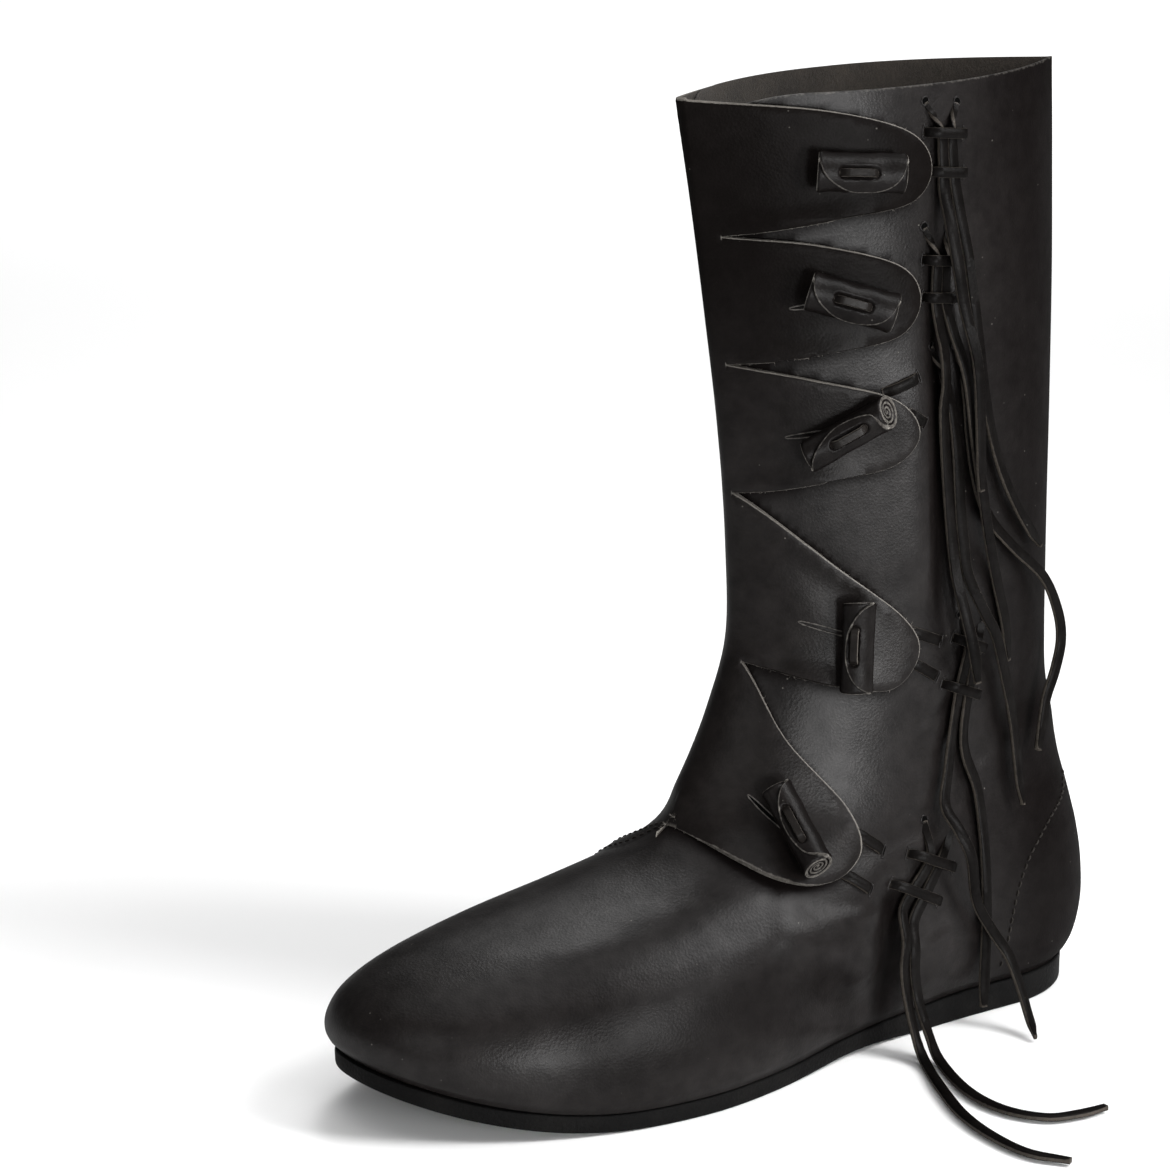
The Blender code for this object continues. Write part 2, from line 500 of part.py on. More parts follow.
def build_flap_panel():
    """Front panel folded round the shin, its flaps lying on the outer side of the shaft."""
    edge = flap_outline()
    outline = edge * PATTERN_STRETCH
    low, high = edge[:, 1].min(), edge[:, 1].max()
    grid = [(column / COLUMNS, up) for column in FLAP_COLUMNS for up in np.arange(low, high, FLAP_GRID)]
    step = np.roll(outline, -1, axis=0) - outline
    inner = []
    for place in np.array(grid) * PATTERN_STRETCH:
        toward = place - outline
        part = np.clip(np.sum(toward * step, 1) / np.sum(step * step, 1), 0.0, 1.0)
        clear = np.linalg.norm(toward - step * part[:, None], axis=1).min()
        crossing = (outline[:, 1] > place[1]) != (np.roll(outline[:, 1], -1) > place[1])
        level = np.where(crossing, step[:, 1], 1.0)
        at = outline[:, 0] + step[:, 0] * toward[:, 1] / level
        inside = np.count_nonzero(crossing & (at > place[0])) % 2 == 1
        if inside and clear > FLAP_GRID_CLEAR:
            inner.append(place)
    count = len(outline)
    edges = [(k, (k + 1) % count) for k in range(count)]
    pattern = [tuple(place) for place in np.concatenate([outline, np.array(inner)])]
    flat, _, triangles, *_ = delaunay_2d_cdt(pattern, edges, [list(range(count))], 1, 1e-5)
    places = np.array([tuple(place) for place in flat]) / PATTERN_STRETCH
    around, up = places[:, 0], np.minimum(places[:, 1], SHAFT[-1].front_up - COLLAR_CLEAR)
    ring_at = ring_at_height(around, up)
    base, normal = surface(around, ring_at), outward(around, ring_at)
    skive = FLAP_SKIVED + (FLAP_THICK - FLAP_SKIVED) * ease((around + FLAP_WRAP) / FLAP_WRAP)
    under = base + normal * FLAP_GAP
    over = base + normal * (FLAP_GAP + skive)[:, None]
    total = len(places)
    sides = {pair for triangle in triangles for pair in zip(triangle, triangle[1:] + triangle[:1])}
    border = sorted((start, stop) for start, stop in sides if (stop, start) not in sides)
    faces = [tuple(corner + total for corner in triangle) for triangle in triangles]
    faces += [tuple(reversed(triangle)) for triangle in triangles]
    faces += [(stop, start, start + total, stop + total) for start, stop in border]
    add_solid("flap_panel", np.concatenate([under, over]), faces, BLACK_LEATHER, sharp=0.9)


def build_seam():
    """Lapped seam that stands up along the join of vamp and inner quarter."""
    line = smooth_through(SEAM, SEAM_STEPS)
    ahead = np.gradient(line, axis=0)
    ahead /= np.linalg.norm(ahead, axis=1, keepdims=True)
    across = np.stack([-ahead[:, 1], ahead[:, 0]], 1) * SEAM_WIDE / 2.0
    corners = []
    for place, off in ((line - across, SEAM_GAP), (line, SEAM_GAP), (line + across, SEAM_GAP),
                       (line + across, SEAM_GAP + SEAM_THICK), (line, SEAM_GAP + SEAM_THICK),
                       (line - across, SEAM_GAP + SEAM_THICK)):
        point, _ = on_side(place[:, 0], place[:, 1], np.full(len(line), off), side=-1.0)
        corners.append(point)
    points = np.stack(corners, 1).reshape(-1, 3)
    add_solid("vamp_seam", points, tube_faces(SEAM_STEPS, len(corners)), BLACK_LEATHER)


def side_frame(fore, up, turn):
    """Point on the outer side, an axis turned in the surface, the axis across it and the normal."""
    point, normal = on_side(fore, up)
    level = np.cross(normal, (0.0, 0.0, 1.0))
    level /= np.linalg.norm(level)
    level *= np.sign(level[1])
    rise = np.cross(normal, level)
    rise *= np.sign(rise[2])
    turn = np.radians(turn)
    axis = level * np.cos(turn) + rise * np.sin(turn)
    return point, axis, np.cross(normal, axis), normal


def build_toggles():
    """Rolled leather toggles lying on the flaps, each with the thong that shows on top of it."""
    seat = FLAP_GAP + FLAP_THICK + GAP + TOGGLE_RADIUS
    turns = 2.0 * np.pi * np.arange(TOGGLE_SIDES) / TOGGLE_SIDES
    radius = TOGGLE_RADIUS - TOGGLE_WRAP * turns / (2.0 * np.pi)
    half = TOGGLE_LONG / 2.0
    for number, toggle in enumerate(TOGGLES, 1):
        point, axis, across, normal = side_frame(toggle.fore, toggle.up, toggle.turn)
        centre = point + normal * (seat + toggle.lift)
        points = []
        for along, shrink in ((-half, TOGGLE_BEVEL), (-half + TOGGLE_BEVEL, 0.0),
                              (half - TOGGLE_BEVEL, 0.0), (half, TOGGLE_BEVEL)):
            ring = radius - shrink
            points.append(centre + axis * along + np.outer(ring * np.sin(turns), across)
                          + np.outer(ring * np.cos(turns), normal))
        faces = tube_faces(len(points), TOGGLE_SIDES)
        add_solid(f"toggle_{number}", np.concatenate(points), faces, BLACK_LEATHER)
        spread = np.linspace(-1.0, 1.0, 7)
        rise = TOGGLE_RADIUS + GAP + LOOP_RISE * (1.0 - spread**2)
        centres = centre + np.outer(spread * LOOP_LONG / 2.0, axis) + np.outer(rise, normal)
        bar = strip(centres, np.tile(normal, (len(spread), 1)), LOOP_WIDE, LOOP_THICK)
        add_solid(f"toggle_loop_{number}", bar, tube_faces(len(spread), 4), RAW_LEATHER)


def build_tabs():
    """Short flat thong lengths between flap edge and slit, lying on the shaft."""
    for number, tab in enumerate(TABS, 1):
        line = np.linspace(tab.start, tab.end, 4)
        centres, normals = on_side(line[:, 0], line[:, 1], np.full(len(line), GAP))
        points = strip(centres, normals, TAB_WIDE, TAB_THICK)
        add_solid(f"tab_{number}", points, tube_faces(len(line), 4), BLACK_LEATHER)


def build_keepers():
    """Low bars that stand over the thong ends and go into the shaft on both sides of them."""
    for bar in BARS:
        long = np.linalg.norm(np.subtract(bar.end, bar.start))
        foot = BAR_FOOT / long
        knee, knee_off = BAR_KNEE[0] * foot, BAR_KNEE[1] * BAR_CLEAR
        part = np.array([0.0, knee, foot, 0.5, 1.0 - foot, 1.0 - knee, 1.0])
        off = np.array([GAP, knee_off, BAR_CLEAR, BAR_CLEAR + BAR_BOW, BAR_CLEAR, knee_off, GAP])
        line = np.outer(1.0 - part, bar.start) + np.outer(part, bar.end)
        centres, normals = on_side(line[:, 0], line[:, 1], off)
        ahead = np.gradient(centres, axis=0)
        ahead /= np.linalg.norm(ahead, axis=1, keepdims=True)
        upright = normals - ahead * np.sum(normals * ahead, axis=1)[:, None]
        upright /= np.linalg.norm(upright, axis=1, keepdims=True)
        points = strip(centres, upright, BAR_WIDE, BAR_THICK)
        add_solid(bar.name, points, tube_faces(len(part), 4), BLACK_LEATHER)


def thong_route(stops):
    """Route of a thong end in space, from stops on the outer side and in free air."""
    route = []
    for stop in stops:
        if isinstance(stop, On):
            point, _ = on_side(stop.fore, stop.up, np.float64(stop.off))
            route.append(point)
        else:
            route.append(np.array([stop.out, -stop.fore, stop.up]))
    return np.array(route)


def build_thongs():
    """Free thong ends, each a tube along a smooth curve through its stops."""
    for name, stops in THONGS.items():
        route = thong_route(stops)
        long = np.sum(np.linalg.norm(np.diff(route, axis=0), axis=1))
        line = smooth_through(route, int(long / THONG_STEP) + 2)
        curve = bpy.data.curves.new(name, "CURVE")
        curve.dimensions = "3D"
        curve.bevel_depth = THONG_ROUND / 2.0 * MM
        curve.bevel_resolution = 2
        curve.use_fill_caps = True
        spline = curve.splines.new("POLY")
        spline.points.add(len(line) - 1)
        for point, place in zip(spline.points, line * MM):
            point.co = (*place, 1.0)
        curve.materials.append(finish_material(name, BLACK_LEATHER))
        thong = bpy.data.objects.new(name, curve)
        thong.parent = boot
        bpy.context.collection.objects.link(thong)


def centre_on_floor():
    """Moves the boot so that its box, without the free thong ends, is centred over the origin."""
    solids = [solid for solid in boot.children if solid.type == "MESH"]
    points = np.concatenate([[vertex.co[:] for vertex in solid.data.vertices] for solid in solids])
    low, high = points.min(axis=0), points.max(axis=0)
    boot.location = (-(low[0] + high[0]) / 2.0, -(low[1] + high[1]) / 2.0, -low[2])


for leftover in list(bpy.data.objects):
    bpy.data.objects.remove(leftover, do_unlink=True)
boot = bpy.data.objects.new("boot", None)
bpy.context.collection.objects.link(boot)
build_sole()
build_upper()
build_flap_panel()
build_seam()
build_toggles()
build_tabs()
build_keepers()
build_thongs()
centre_on_floor()
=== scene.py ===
from collections import namedtuple

import bpy
import numpy as np
from mathutils import Matrix, Vector
from mathutils.geometry import delaunay_2d_cdt


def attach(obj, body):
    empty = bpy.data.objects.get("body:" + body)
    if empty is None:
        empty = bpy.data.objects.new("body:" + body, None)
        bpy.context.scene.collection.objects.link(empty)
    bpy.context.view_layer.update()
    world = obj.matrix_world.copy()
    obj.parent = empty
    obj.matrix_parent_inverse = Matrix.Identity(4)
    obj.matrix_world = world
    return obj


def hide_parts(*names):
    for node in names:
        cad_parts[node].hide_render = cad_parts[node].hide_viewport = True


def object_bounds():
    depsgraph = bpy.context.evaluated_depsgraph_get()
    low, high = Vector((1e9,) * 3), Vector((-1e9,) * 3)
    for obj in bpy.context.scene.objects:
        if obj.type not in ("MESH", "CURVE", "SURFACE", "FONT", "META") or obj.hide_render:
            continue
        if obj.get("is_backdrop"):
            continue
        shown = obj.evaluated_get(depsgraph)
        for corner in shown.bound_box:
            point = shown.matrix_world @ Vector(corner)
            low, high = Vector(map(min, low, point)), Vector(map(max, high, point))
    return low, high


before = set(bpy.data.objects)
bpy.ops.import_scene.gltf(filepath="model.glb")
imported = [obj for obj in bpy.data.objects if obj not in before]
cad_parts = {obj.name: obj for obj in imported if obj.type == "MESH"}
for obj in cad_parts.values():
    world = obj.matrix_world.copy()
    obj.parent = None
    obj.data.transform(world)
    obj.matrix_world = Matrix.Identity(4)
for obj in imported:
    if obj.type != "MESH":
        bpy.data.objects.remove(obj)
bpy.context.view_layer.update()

# Studio: a wide pale floor. Small soft boxes behind and beside the boot give the black leather its
# highlights, and large ones above, in front and far behind light the floor. A long lens looks at the
# outer toe side from a little above.
SoftBox = namedtuple("SoftBox", "name place aim size power spread")
SOFT_BOXES = [
    SoftBox("back_side_box", (0.74, 0.62, 0.90), (0.03, -0.04, 0.08), (0.40, 0.95), 5.2, 92.0),
    SoftBox("side_box", (1.45, 0.17, 0.22), (0.0, 0.0, 0.16), (0.36, 0.40), 4.5, 100.0),
    SoftBox("toe_box", (1.46, -0.40, 0.12), (0.04, -0.10, 0.04), (0.22, 0.25), 1.5, 80.0),
    SoftBox("rim_box", (-0.62, 0.42, 1.45), (0.0, -0.07, 0.07), (0.35, 0.35), 1.7, 110.0),
    SoftBox("top_box", (0.2, 0.1, 2.2), (0.2, 0.1, 0.0), (2.0, 2.0), 20.0, 180.0),
    SoftBox("front_box", (0.89, -1.32, 0.66), (0.0, -0.06, 0.12), (0.7, 0.6), 3.0, 180.0),
    SoftBox("far_box", (-2.2, 1.6, 2.3), (-2.2, 1.6, 0.0), (2.4, 2.0), 42.0, 130.0),
]
AIR_LIGHT = 0.22
FLOOR_RADIUS, FLOOR_CORNERS = 14.0, 64
MILLIMETRE = 0.001
SHIFT = np.array([-1.213, 140.205, 0.0])
CAMERA_AT = np.array([993.28, -881.20, 491.94])
CAMERA_RIGHT = Vector((0.56640624, 0.82412619, 0.0))
CAMERA_UP = Vector((-0.21392269, 0.14702499, 0.96572291))
SENSOR_WIDE, FOCAL_LENGTH = 36.0, 120.0
NEAREST, FARTHEST = 0.05, 60.0


def wire(tree, node, sockets):
    """Sets a node's inputs, each to a value or to another node's output."""
    for label, value in sockets.items():
        if isinstance(value, bpy.types.NodeSocket):
            tree.links.new(value, node.inputs[label])
        else:
            node.inputs[label].default_value = value


def new_material(name, even):
    """Material, its node tree and its shader, with values that are the same all over set on the shader."""
    material = bpy.data.materials.new(name)
    material.use_nodes = True
    shader = material.node_tree.nodes["Principled BSDF"]
    wire(material.node_tree, shader, even)
    return material, material.node_tree, shader


for box in SOFT_BOXES:
    lamp = bpy.data.lights.new(box.name, "AREA")
    lamp.shape = "RECTANGLE"
    lamp.size, lamp.size_y = box.size
    lamp.energy = box.power
    lamp.spread = np.radians(box.spread)
    holder = bpy.data.objects.new(box.name, lamp)
    holder.location = box.place
    holder.rotation_euler = (Vector(box.aim) - Vector(box.place)).to_track_quat("-Z", "Y").to_euler()
    bpy.context.collection.objects.link(holder)
world = bpy.data.worlds.new("studio_air")
world.use_nodes = True
wire(world.node_tree, world.node_tree.nodes["Background"],
     {"Color": (1.0, 1.0, 1.0, 1.0), "Strength": AIR_LIGHT})
bpy.context.scene.world = world
bpy.context.scene.view_settings.view_transform = "Standard"

rim = [(FLOOR_RADIUS * np.cos(turn), FLOOR_RADIUS * np.sin(turn), 0.0)
       for turn in np.linspace(0.0, 2.0 * np.pi, FLOOR_CORNERS, endpoint=False)]
floor_mesh = bpy.data.meshes.new("floor")
floor_mesh.from_pydata(rim, [], [tuple(range(FLOOR_CORNERS))])
floor = bpy.data.objects.new("floor", floor_mesh)
bpy.context.collection.objects.link(floor)
paper, _, _ = new_material("floor_paper", {"Base Color": (0.93, 0.93, 0.93, 1.0), "Roughness": 0.85,
                                           "Specular IOR Level": 0.1})
floor_mesh.materials.append(paper)
floor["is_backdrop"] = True

lens = bpy.data.cameras.new("camera")
lens.sensor_width = SENSOR_WIDE
lens.lens = FOCAL_LENGTH
lens.clip_start, lens.clip_end = NEAREST, FARTHEST
camera = bpy.data.objects.new("camera", lens)
turned = Matrix((CAMERA_RIGHT, CAMERA_UP, CAMERA_RIGHT.cross(CAMERA_UP))).transposed().to_4x4()
camera.matrix_world = Matrix.Translation(Vector((CAMERA_AT + SHIFT) * MILLIMETRE)) @ turned
bpy.context.collection.objects.link(camera)
bpy.context.scene.camera = camera

# Outsole: one black rubber sole cut to the last's outline, thick under the heel and thin under the ball,
# with a plain rounded edge. It is glued and stitched to the upper's turned-in edge.
SOLE_LENGTH, FOREFOOT_THICK, HEEL_THICK = 285.0, 6.0, 10.0
HEEL_END, HEEL_RUN_OUT = 60.0, 60.0
TOE_SPRING, TOE_SPRING_FROM = 16.0, 205.0
ARCH_LIFT, ARCH_FROM, ARCH_TO = 1.5, 76.0, 150.0
GAP = 0.3
# The last is a stack of tilted rings from the sole's edge to the collar, in millimetres: fore of the
# sole's back edge, out to the wearer's outer side, up from the floor.
FootRing = namedtuple("FootRing", "front front_up back back_up toe_in ball_out half_out waist_out "
                      "ball_in half_in waist_in heel heel_at blunt_front blunt_back follow")
FOOT = [
    FootRing(283.5, 21.0, 0.5, 10.0, 9, 188, 52.0, 4.0, 212, 47.5, 13.0, 32.0, 40, 2.15, 2.10, 1.00),
    FootRing(287.0, 26.5, -4.5, 18.0, 9, 188, 53.0, 3.5, 212, 48.0, 11.0, 35.0, 40, 2.15, 2.10, 0.80),
    FootRing(287.0, 33.5, -7.0, 30.0, 9, 186, 52.5, 2.5, 208, 46.5, 8.0, 36.5, 40, 2.10, 2.10, 0.50),
    FootRing(282.5, 41.0, -6.5, 44.0, 9, 180, 49.5, 0.5, 200, 43.0, 4.0, 36.0, 40, 2.10, 2.10, 0.25),
    FootRing(272.0, 47.5, -5.0, 56.0, 9, 170, 45.5, -1.0, 188, 38.5, 1.0, 34.5, 40, 2.05, 2.00, 0.10),
    FootRing(254.0, 53.0, -3.0, 65.0, 8, 155, 41.0, -2.0, 170, 35.0, 0.0, 33.0, 42, 2.00, 1.95, 0.0),
    FootRing(230.0, 58.5, -1.0, 73.0, 6, 135, 38.0, -2.0, 146, 33.0, 0.0, 31.5, 44, 1.90, 1.90, 0.0),
    FootRing(203.0, 64.5, 1.0, 81.0, 3, 115, 35.5, -1.0, 122, 32.0, 0.0, 30.0, 48, 1.78, 1.85, 0.0),
    FootRing(181.0, 71.5, 2.5, 89.0, 1, 100, 34.0, 0.0, 104, 31.0, 0.0, 29.5, 52, 1.65, 1.80, 0.0),
    FootRing(165.5, 81.0, 4.0, 99.0, 0, 90, 32.5, 0.0, 92, 30.5, 0.0, 29.5, 56, 1.58, 1.75, 0.0),
]
ShaftRing = namedtuple("ShaftRing", "front front_up back back_up half_out half_in blunt")
SHAFT = [
    ShaftRing(154.5, 97.0, 5.0, 111.0, 31.5, 30.5, 1.55),
    ShaftRing(145.0, 117.0, 5.8, 126.0, 31.0, 30.5, 1.50),
    ShaftRing(138.0, 140.0, 6.0, 146.0, 30.5, 30.5, 1.45),
    ShaftRing(138.5, 170.0, 6.0, 174.0, 31.0, 31.0, 1.38),
    ShaftRing(142.3, 210.0, 5.7, 212.0, 31.5, 31.5, 1.30),
    ShaftRing(148.7, 252.0, 5.5, 253.0, 30.5, 31.0, 1.20),
    ShaftRing(155.0, 290.0, 6.5, 291.0, 28.5, 30.0, 1.10),
    ShaftRing(160.9, 321.5, 7.9, 323.0, 26.0, 28.5, 1.00),
]
SHAFT_WIDEST = 0.52
RING_NAMES = [*FootRing._fields, "heel_in"]
ring_rows = [[*ring, ring.heel] for ring in FOOT]
for ring in SHAFT:
    deep = ring.front - ring.back
    ball = ring.back + SHAFT_WIDEST * deep
    ring_rows.append([ring.front, ring.front_up, ring.back, ring.back_up, 0.0, ball, ring.half_out, 0.0, ball,
                      ring.half_in, 0.0, ring.half_out, ring.back + (1.0 - SHAFT_WIDEST) * deep, ring.blunt,
                      ring.blunt, 0.0, ring.half_in])
RINGS = np.array(ring_rows)
COLLAR = len(RINGS) - 1.0
SOLE_COLUMNS = 280
SOLE_PROFILE = [("top", 14.0, 0.0), ("top", 1.2, 0.0), ("top", 0.45, -0.1), ("top", 0.12, -0.45),
                ("top", 0.05, -1.2), ("top", 0.08, -2.4), ("under", 0.15, 1.6), ("under", 0.34, 0.7),
                ("under", 0.7, 0.22), ("under", 1.3, 0.0), ("under", 14.0, 0.0)]
COLOUR, NUMBER = "NodeSocketColor", "NodeSocketFloat"


def smooth_rows(table, place):
    """Rows of a table at fractional places, on a smooth curve through all of its rows."""
    last = len(table) - 1
    place = np.clip(np.asarray(place, float), 0.0, last)
    low = np.minimum(np.floor(place).astype(int), last - 1)
    part = (place - low)[..., None]
    before, here, there, after = (table[np.clip(low + k, 0, last)] for k in (-1, 0, 1, 2))
    slope_here = np.where((low == 0)[..., None], there - here, (there - before) / 2)
    slope_there = np.where((low == last - 1)[..., None], there - here, (after - here) / 2)
    return ((2 * part**3 - 3 * part**2 + 1) * here + (part**3 - 2 * part**2 + part) * slope_here
            + (3 * part**2 - 2 * part**3) * there + (part**3 - part**2) * slope_there)


def ease(part):
    part = np.clip(part, 0.0, 1.0)
    return part * part * (3.0 - 2.0 * part)


def sole_rise(fore):
    arch = np.clip((fore - ARCH_FROM) / (ARCH_TO - ARCH_FROM), 0.0, 1.0)
    spring = np.clip((fore - TOE_SPRING_FROM) / (SOLE_LENGTH - TOE_SPRING_FROM), 0.0, None)
    return ARCH_LIFT * np.sin(np.pi * arch)**2 + TOE_SPRING * spring**2


def sole_top(fore):
    thick = HEEL_THICK + (FOREFOOT_THICK - HEEL_THICK) * ease((fore - HEEL_END) / HEEL_RUN_OUT)
    return thick + sole_rise(fore)


def half_width(along, ring, side):
    """Half width of a ring from its front (0) to its back (1): toe curve, waist and heel curve."""
    deep = ring["front"] - ring["back"]
    ball = (ring["front"] - ring["ball_" + side]) / deep
    heel = np.maximum((ring["front"] - ring["heel_at"]) / deep, ball + 1e-6)
    wide, narrow = ring["half_" + side], ring["heel" if side == "out" else "heel_in"]
    toe = 1.0 - np.clip((ball - along) / ball, 0.0, 1.0)**2
    tail = 1.0 - np.clip((along - heel) / (1.0 - heel), 0.0, 1.0)**2
    middle = np.clip((along - ball) / (heel - ball), 0.0, 1.0)
    waist = ring["waist_" + side] * np.sin(np.pi * middle)**2
    return np.where(along < ball, wide * toe**(1.0 / ring["blunt_front"]),
                    np.where(along > heel, narrow * tail**(1.0 / ring["blunt_back"]),
                             wide + (narrow - wide) * ease(middle) - waist))


def last_point(around, ring_at):
    """Point of the last's outside. around: 0 front, 0.25 outer side, 0.5 back, 0.75 inner side."""
    around, ring_at = np.broadcast_arrays(np.asarray(around, float) % 1.0, np.asarray(ring_at, float))
    ring = dict(zip(RING_NAMES, np.moveaxis(smooth_rows(RINGS, ring_at), -1, 0)))
    along = (1.0 - np.cos(2.0 * np.pi * around)) / 2.0
    fore = ring["front"] + (ring["back"] - ring["front"]) * along
    level = ring["front_up"] + (ring["back_up"] - ring["front_up"]) * along
    straight = FOOT[0].front_up + (FOOT[0].back_up - FOOT[0].front_up) * along
    up = level + ring["follow"] * (sole_top(np.clip(fore, 0.0, SOLE_LENGTH)) - straight)
    past_arch = np.clip((fore - ARCH_TO) / np.maximum(ring["front"] - ARCH_TO, 1.0), 0.0, 1.0)
    side = np.where(around <= 0.5, half_width(along, ring, "out"), -half_width(along, ring, "in"))
    return np.stack([side - ring["toe_in"] * past_arch**2, -fore, up + GAP * ring["follow"]], -1)


def unit(vectors):
    return vectors / np.linalg.norm(vectors, axis=-1, keepdims=True)


def outward(around, ring_at):
    """Unit normal of the last, averaged across the folds at front and back."""
    step, rise = 0.004, 0.02
    across = last_point(around + step, ring_at) - last_point(around - step, ring_at)
    along = (last_point(around, np.clip(ring_at + rise, 0.0, COLLAR))
             - last_point(around, np.clip(ring_at - rise, 0.0, COLLAR)))
    return unit(np.cross(across, along))


def add_piece(name, points, faces, materials, slot, stands_for=None, face_slots=None, sharp=0.8, **fields):
    """Mesh piece of the boot from points in millimetres, with number fields on its points."""
    mesh = bpy.data.meshes.new(name)
    points = (np.asarray(points) + SHIFT) * MILLIMETRE
    mesh.from_pydata(points.tolist(), [], [tuple(map(int, face)) for face in faces])
    for material in materials:
        mesh.materials.append(material)
    if face_slots is not None:
        mesh.polygons.foreach_set("material_index", np.asarray(face_slots, np.int32))
    for field, values in fields.items():
        layer = mesh.attributes.new(field, "FLOAT", "POINT")
        layer.data.foreach_set("value", np.asarray(values, np.float32))
    mesh.validate()
    mesh.shade_smooth()
    mesh.set_sharp_from_angle(angle=sharp)
    piece = bpy.data.objects.new(name, mesh)
    bpy.context.collection.objects.link(piece)
    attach(piece, "root")
    if stands_for:
        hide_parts(stands_for)
    return piece


def ring_faces(rows, sides, first=0, closed=True):
    """Quads between rings of points laid one after another."""
    row, side = np.meshgrid(np.arange(rows - 1), np.arange(sides if closed else sides - 1), indexing="ij")
    after = (side + 1) % sides
    quads = np.stack([row * sides + side, row * sides + after, (row + 1) * sides + after,
                      (row + 1) * sides + side], -1)
    return (quads.reshape(-1, 4) + first).tolist()


def new_group(name, inputs, outputs):
    """Shader node group with named sockets, its inputs as they are given and the node of its outputs."""
    group = bpy.data.node_groups.new(name, "ShaderNodeTree")
    for way, sockets in (("INPUT", inputs), ("OUTPUT", outputs)):
        for label, kind in sockets.items():
            group.interface.new_socket(name=label, in_out=way, socket_type=kind)
    return group, group.nodes.new("NodeGroupInput").outputs, group.nodes.new("NodeGroupOutput")


def put(tree, kind, sockets, **settings):
    """Adds a node: settings are its properties, sockets its inputs as values or other nodes' outputs."""
    node = tree.nodes.new(kind)
    for label, value in settings.items():
        setattr(node, label, value)
    wire(tree, node, sockets)
    return node


def blend_of(tree, factor, low, high):
    """Colour between two colours."""
    return put(tree, "ShaderNodeMix", {0: factor, 6: low, 7: high}, data_type="RGBA").outputs[2]


def stretch(tree, value, low, high, to_low=0.0, to_high=1.0):
    """Value carried from one range to another and held there."""
    return put(tree, "ShaderNodeMapRange", {"Value": value, "From Min": low, "From Max": high,
                                            "To Min": to_low, "To Max": to_high}).outputs["Result"]


def plus(tree, one, two):
    return put(tree, "ShaderNodeMath", {0: one, 1: two}, operation="ADD").outputs[0]


def times(tree, one, two):
    return put(tree, "ShaderNodeMath", {0: one, 1: two}, operation="MULTIPLY").outputs[0]


def object_place(tree):
    return put(tree, "ShaderNodeTexCoord", {}).outputs["Object"]


def noise_of(tree, place, scale, detail, **more):
    sockets = {"Vector": place, "Scale": scale, "Detail": detail, **more}
    return put(tree, "ShaderNodeTexNoise", sockets).outputs["Fac"]


def bumps(tree, height, strength, deep):
    """Normal of a surface with fine relief."""
    sockets = {"Height": height, "Strength": strength, "Distance": deep}
    return put(tree, "ShaderNodeBump", sockets).outputs["Normal"]


around = np.arange(SOLE_COLUMNS) / SOLE_COLUMNS
sole_edge = last_point(around, np.zeros(SOLE_COLUMNS))
sole_side = unit(outward(around, np.zeros(SOLE_COLUMNS)) * (1.0, 1.0, 0.0))
layers = []
for base, inset, rise in SOLE_PROFILE:
    layer = sole_edge - sole_side * inset
    fore = np.clip(-layer[:, 1], 0.0, SOLE_LENGTH)
    layer[:, 2] = (sole_top(fore) if base == "top" else sole_rise(fore)) + rise
    layers.append(layer)
faces = ring_faces(len(layers), SOLE_COLUMNS)
for start, turn in ((0, 1), ((len(layers) - 1) * SOLE_COLUMNS, -1)):
    for side in range(SOLE_COLUMNS // 2):
        loop = (side, side + 1, SOLE_COLUMNS - side - 1, (SOLE_COLUMNS - side) % SOLE_COLUMNS)
        faces.append(list(dict.fromkeys(start + corner for corner in loop))[::turn])

sole_wear, given, result = new_group("sole_wear", {"Dark": COLOUR, "Dusty": COLOUR},
                                     {"Color": COLOUR, "Roughness": NUMBER, "Height": NUMBER})
place = object_place(sole_wear)
broad = noise_of(sole_wear, place, 60.0, 6.0)
fine = noise_of(sole_wear, place, 900.0, 4.0)
dusty = times(sole_wear, stretch(sole_wear, broad, 0.45, 0.75), fine)
wire(sole_wear, result, {
    "Color": blend_of(sole_wear, dusty, given["Dark"], given["Dusty"]),
    "Roughness": stretch(sole_wear, broad, 0.3, 0.7, 0.62, 0.82),
    "Height": fine,
})
sole_rubber, tree, shader = new_material("black_sole", {"Specular IOR Level": 0.05})
worn = put(tree, "ShaderNodeGroup", {"Dark": (0.0026, 0.0025, 0.0025, 1.0),
                                     "Dusty": (0.010, 0.0095, 0.0090, 1.0)}, node_tree=sole_wear).outputs
wire(tree, shader, {
    "Base Color": worn["Color"],
    "Roughness": worn["Roughness"],
    "Normal": bumps(tree, worn["Height"], 0.6, 0.0006),
})
add_piece("sole_edge_and_tread", np.concatenate(layers), faces, [sole_rubber], "sole_rubber", "outsole",
          sharp=0.6)

# Insole: a board of rough leather, flesh side up, laid on the outsole inside the boot. It keeps its
# solid and shows only from above, down the shaft.
flesh_side, given, result = new_group("flesh_side", {"Dark": COLOUR, "Pale": COLOUR},
                                      {"Color": COLOUR, "Height": NUMBER})
place = object_place(flesh_side)
patches = noise_of(flesh_side, place, 45.0, 5.0)
fibres = noise_of(flesh_side, place, 1500.0, 5.0, Roughness=0.7)
tufts = noise_of(flesh_side, place, 420.0, 3.0, Distortion=1.5)
nap = plus(flesh_side, times(flesh_side, fibres, 0.6), times(flesh_side, tufts, 0.4))
shade = plus(flesh_side, stretch(flesh_side, nap, 0.3, 0.75, 0.0, 0.7),
             stretch(flesh_side, patches, 0.35, 0.7, 0.0, 0.3))
wire(flesh_side, result, {
    "Color": blend_of(flesh_side, shade, given["Dark"], given["Pale"]),
    "Height": nap,
})


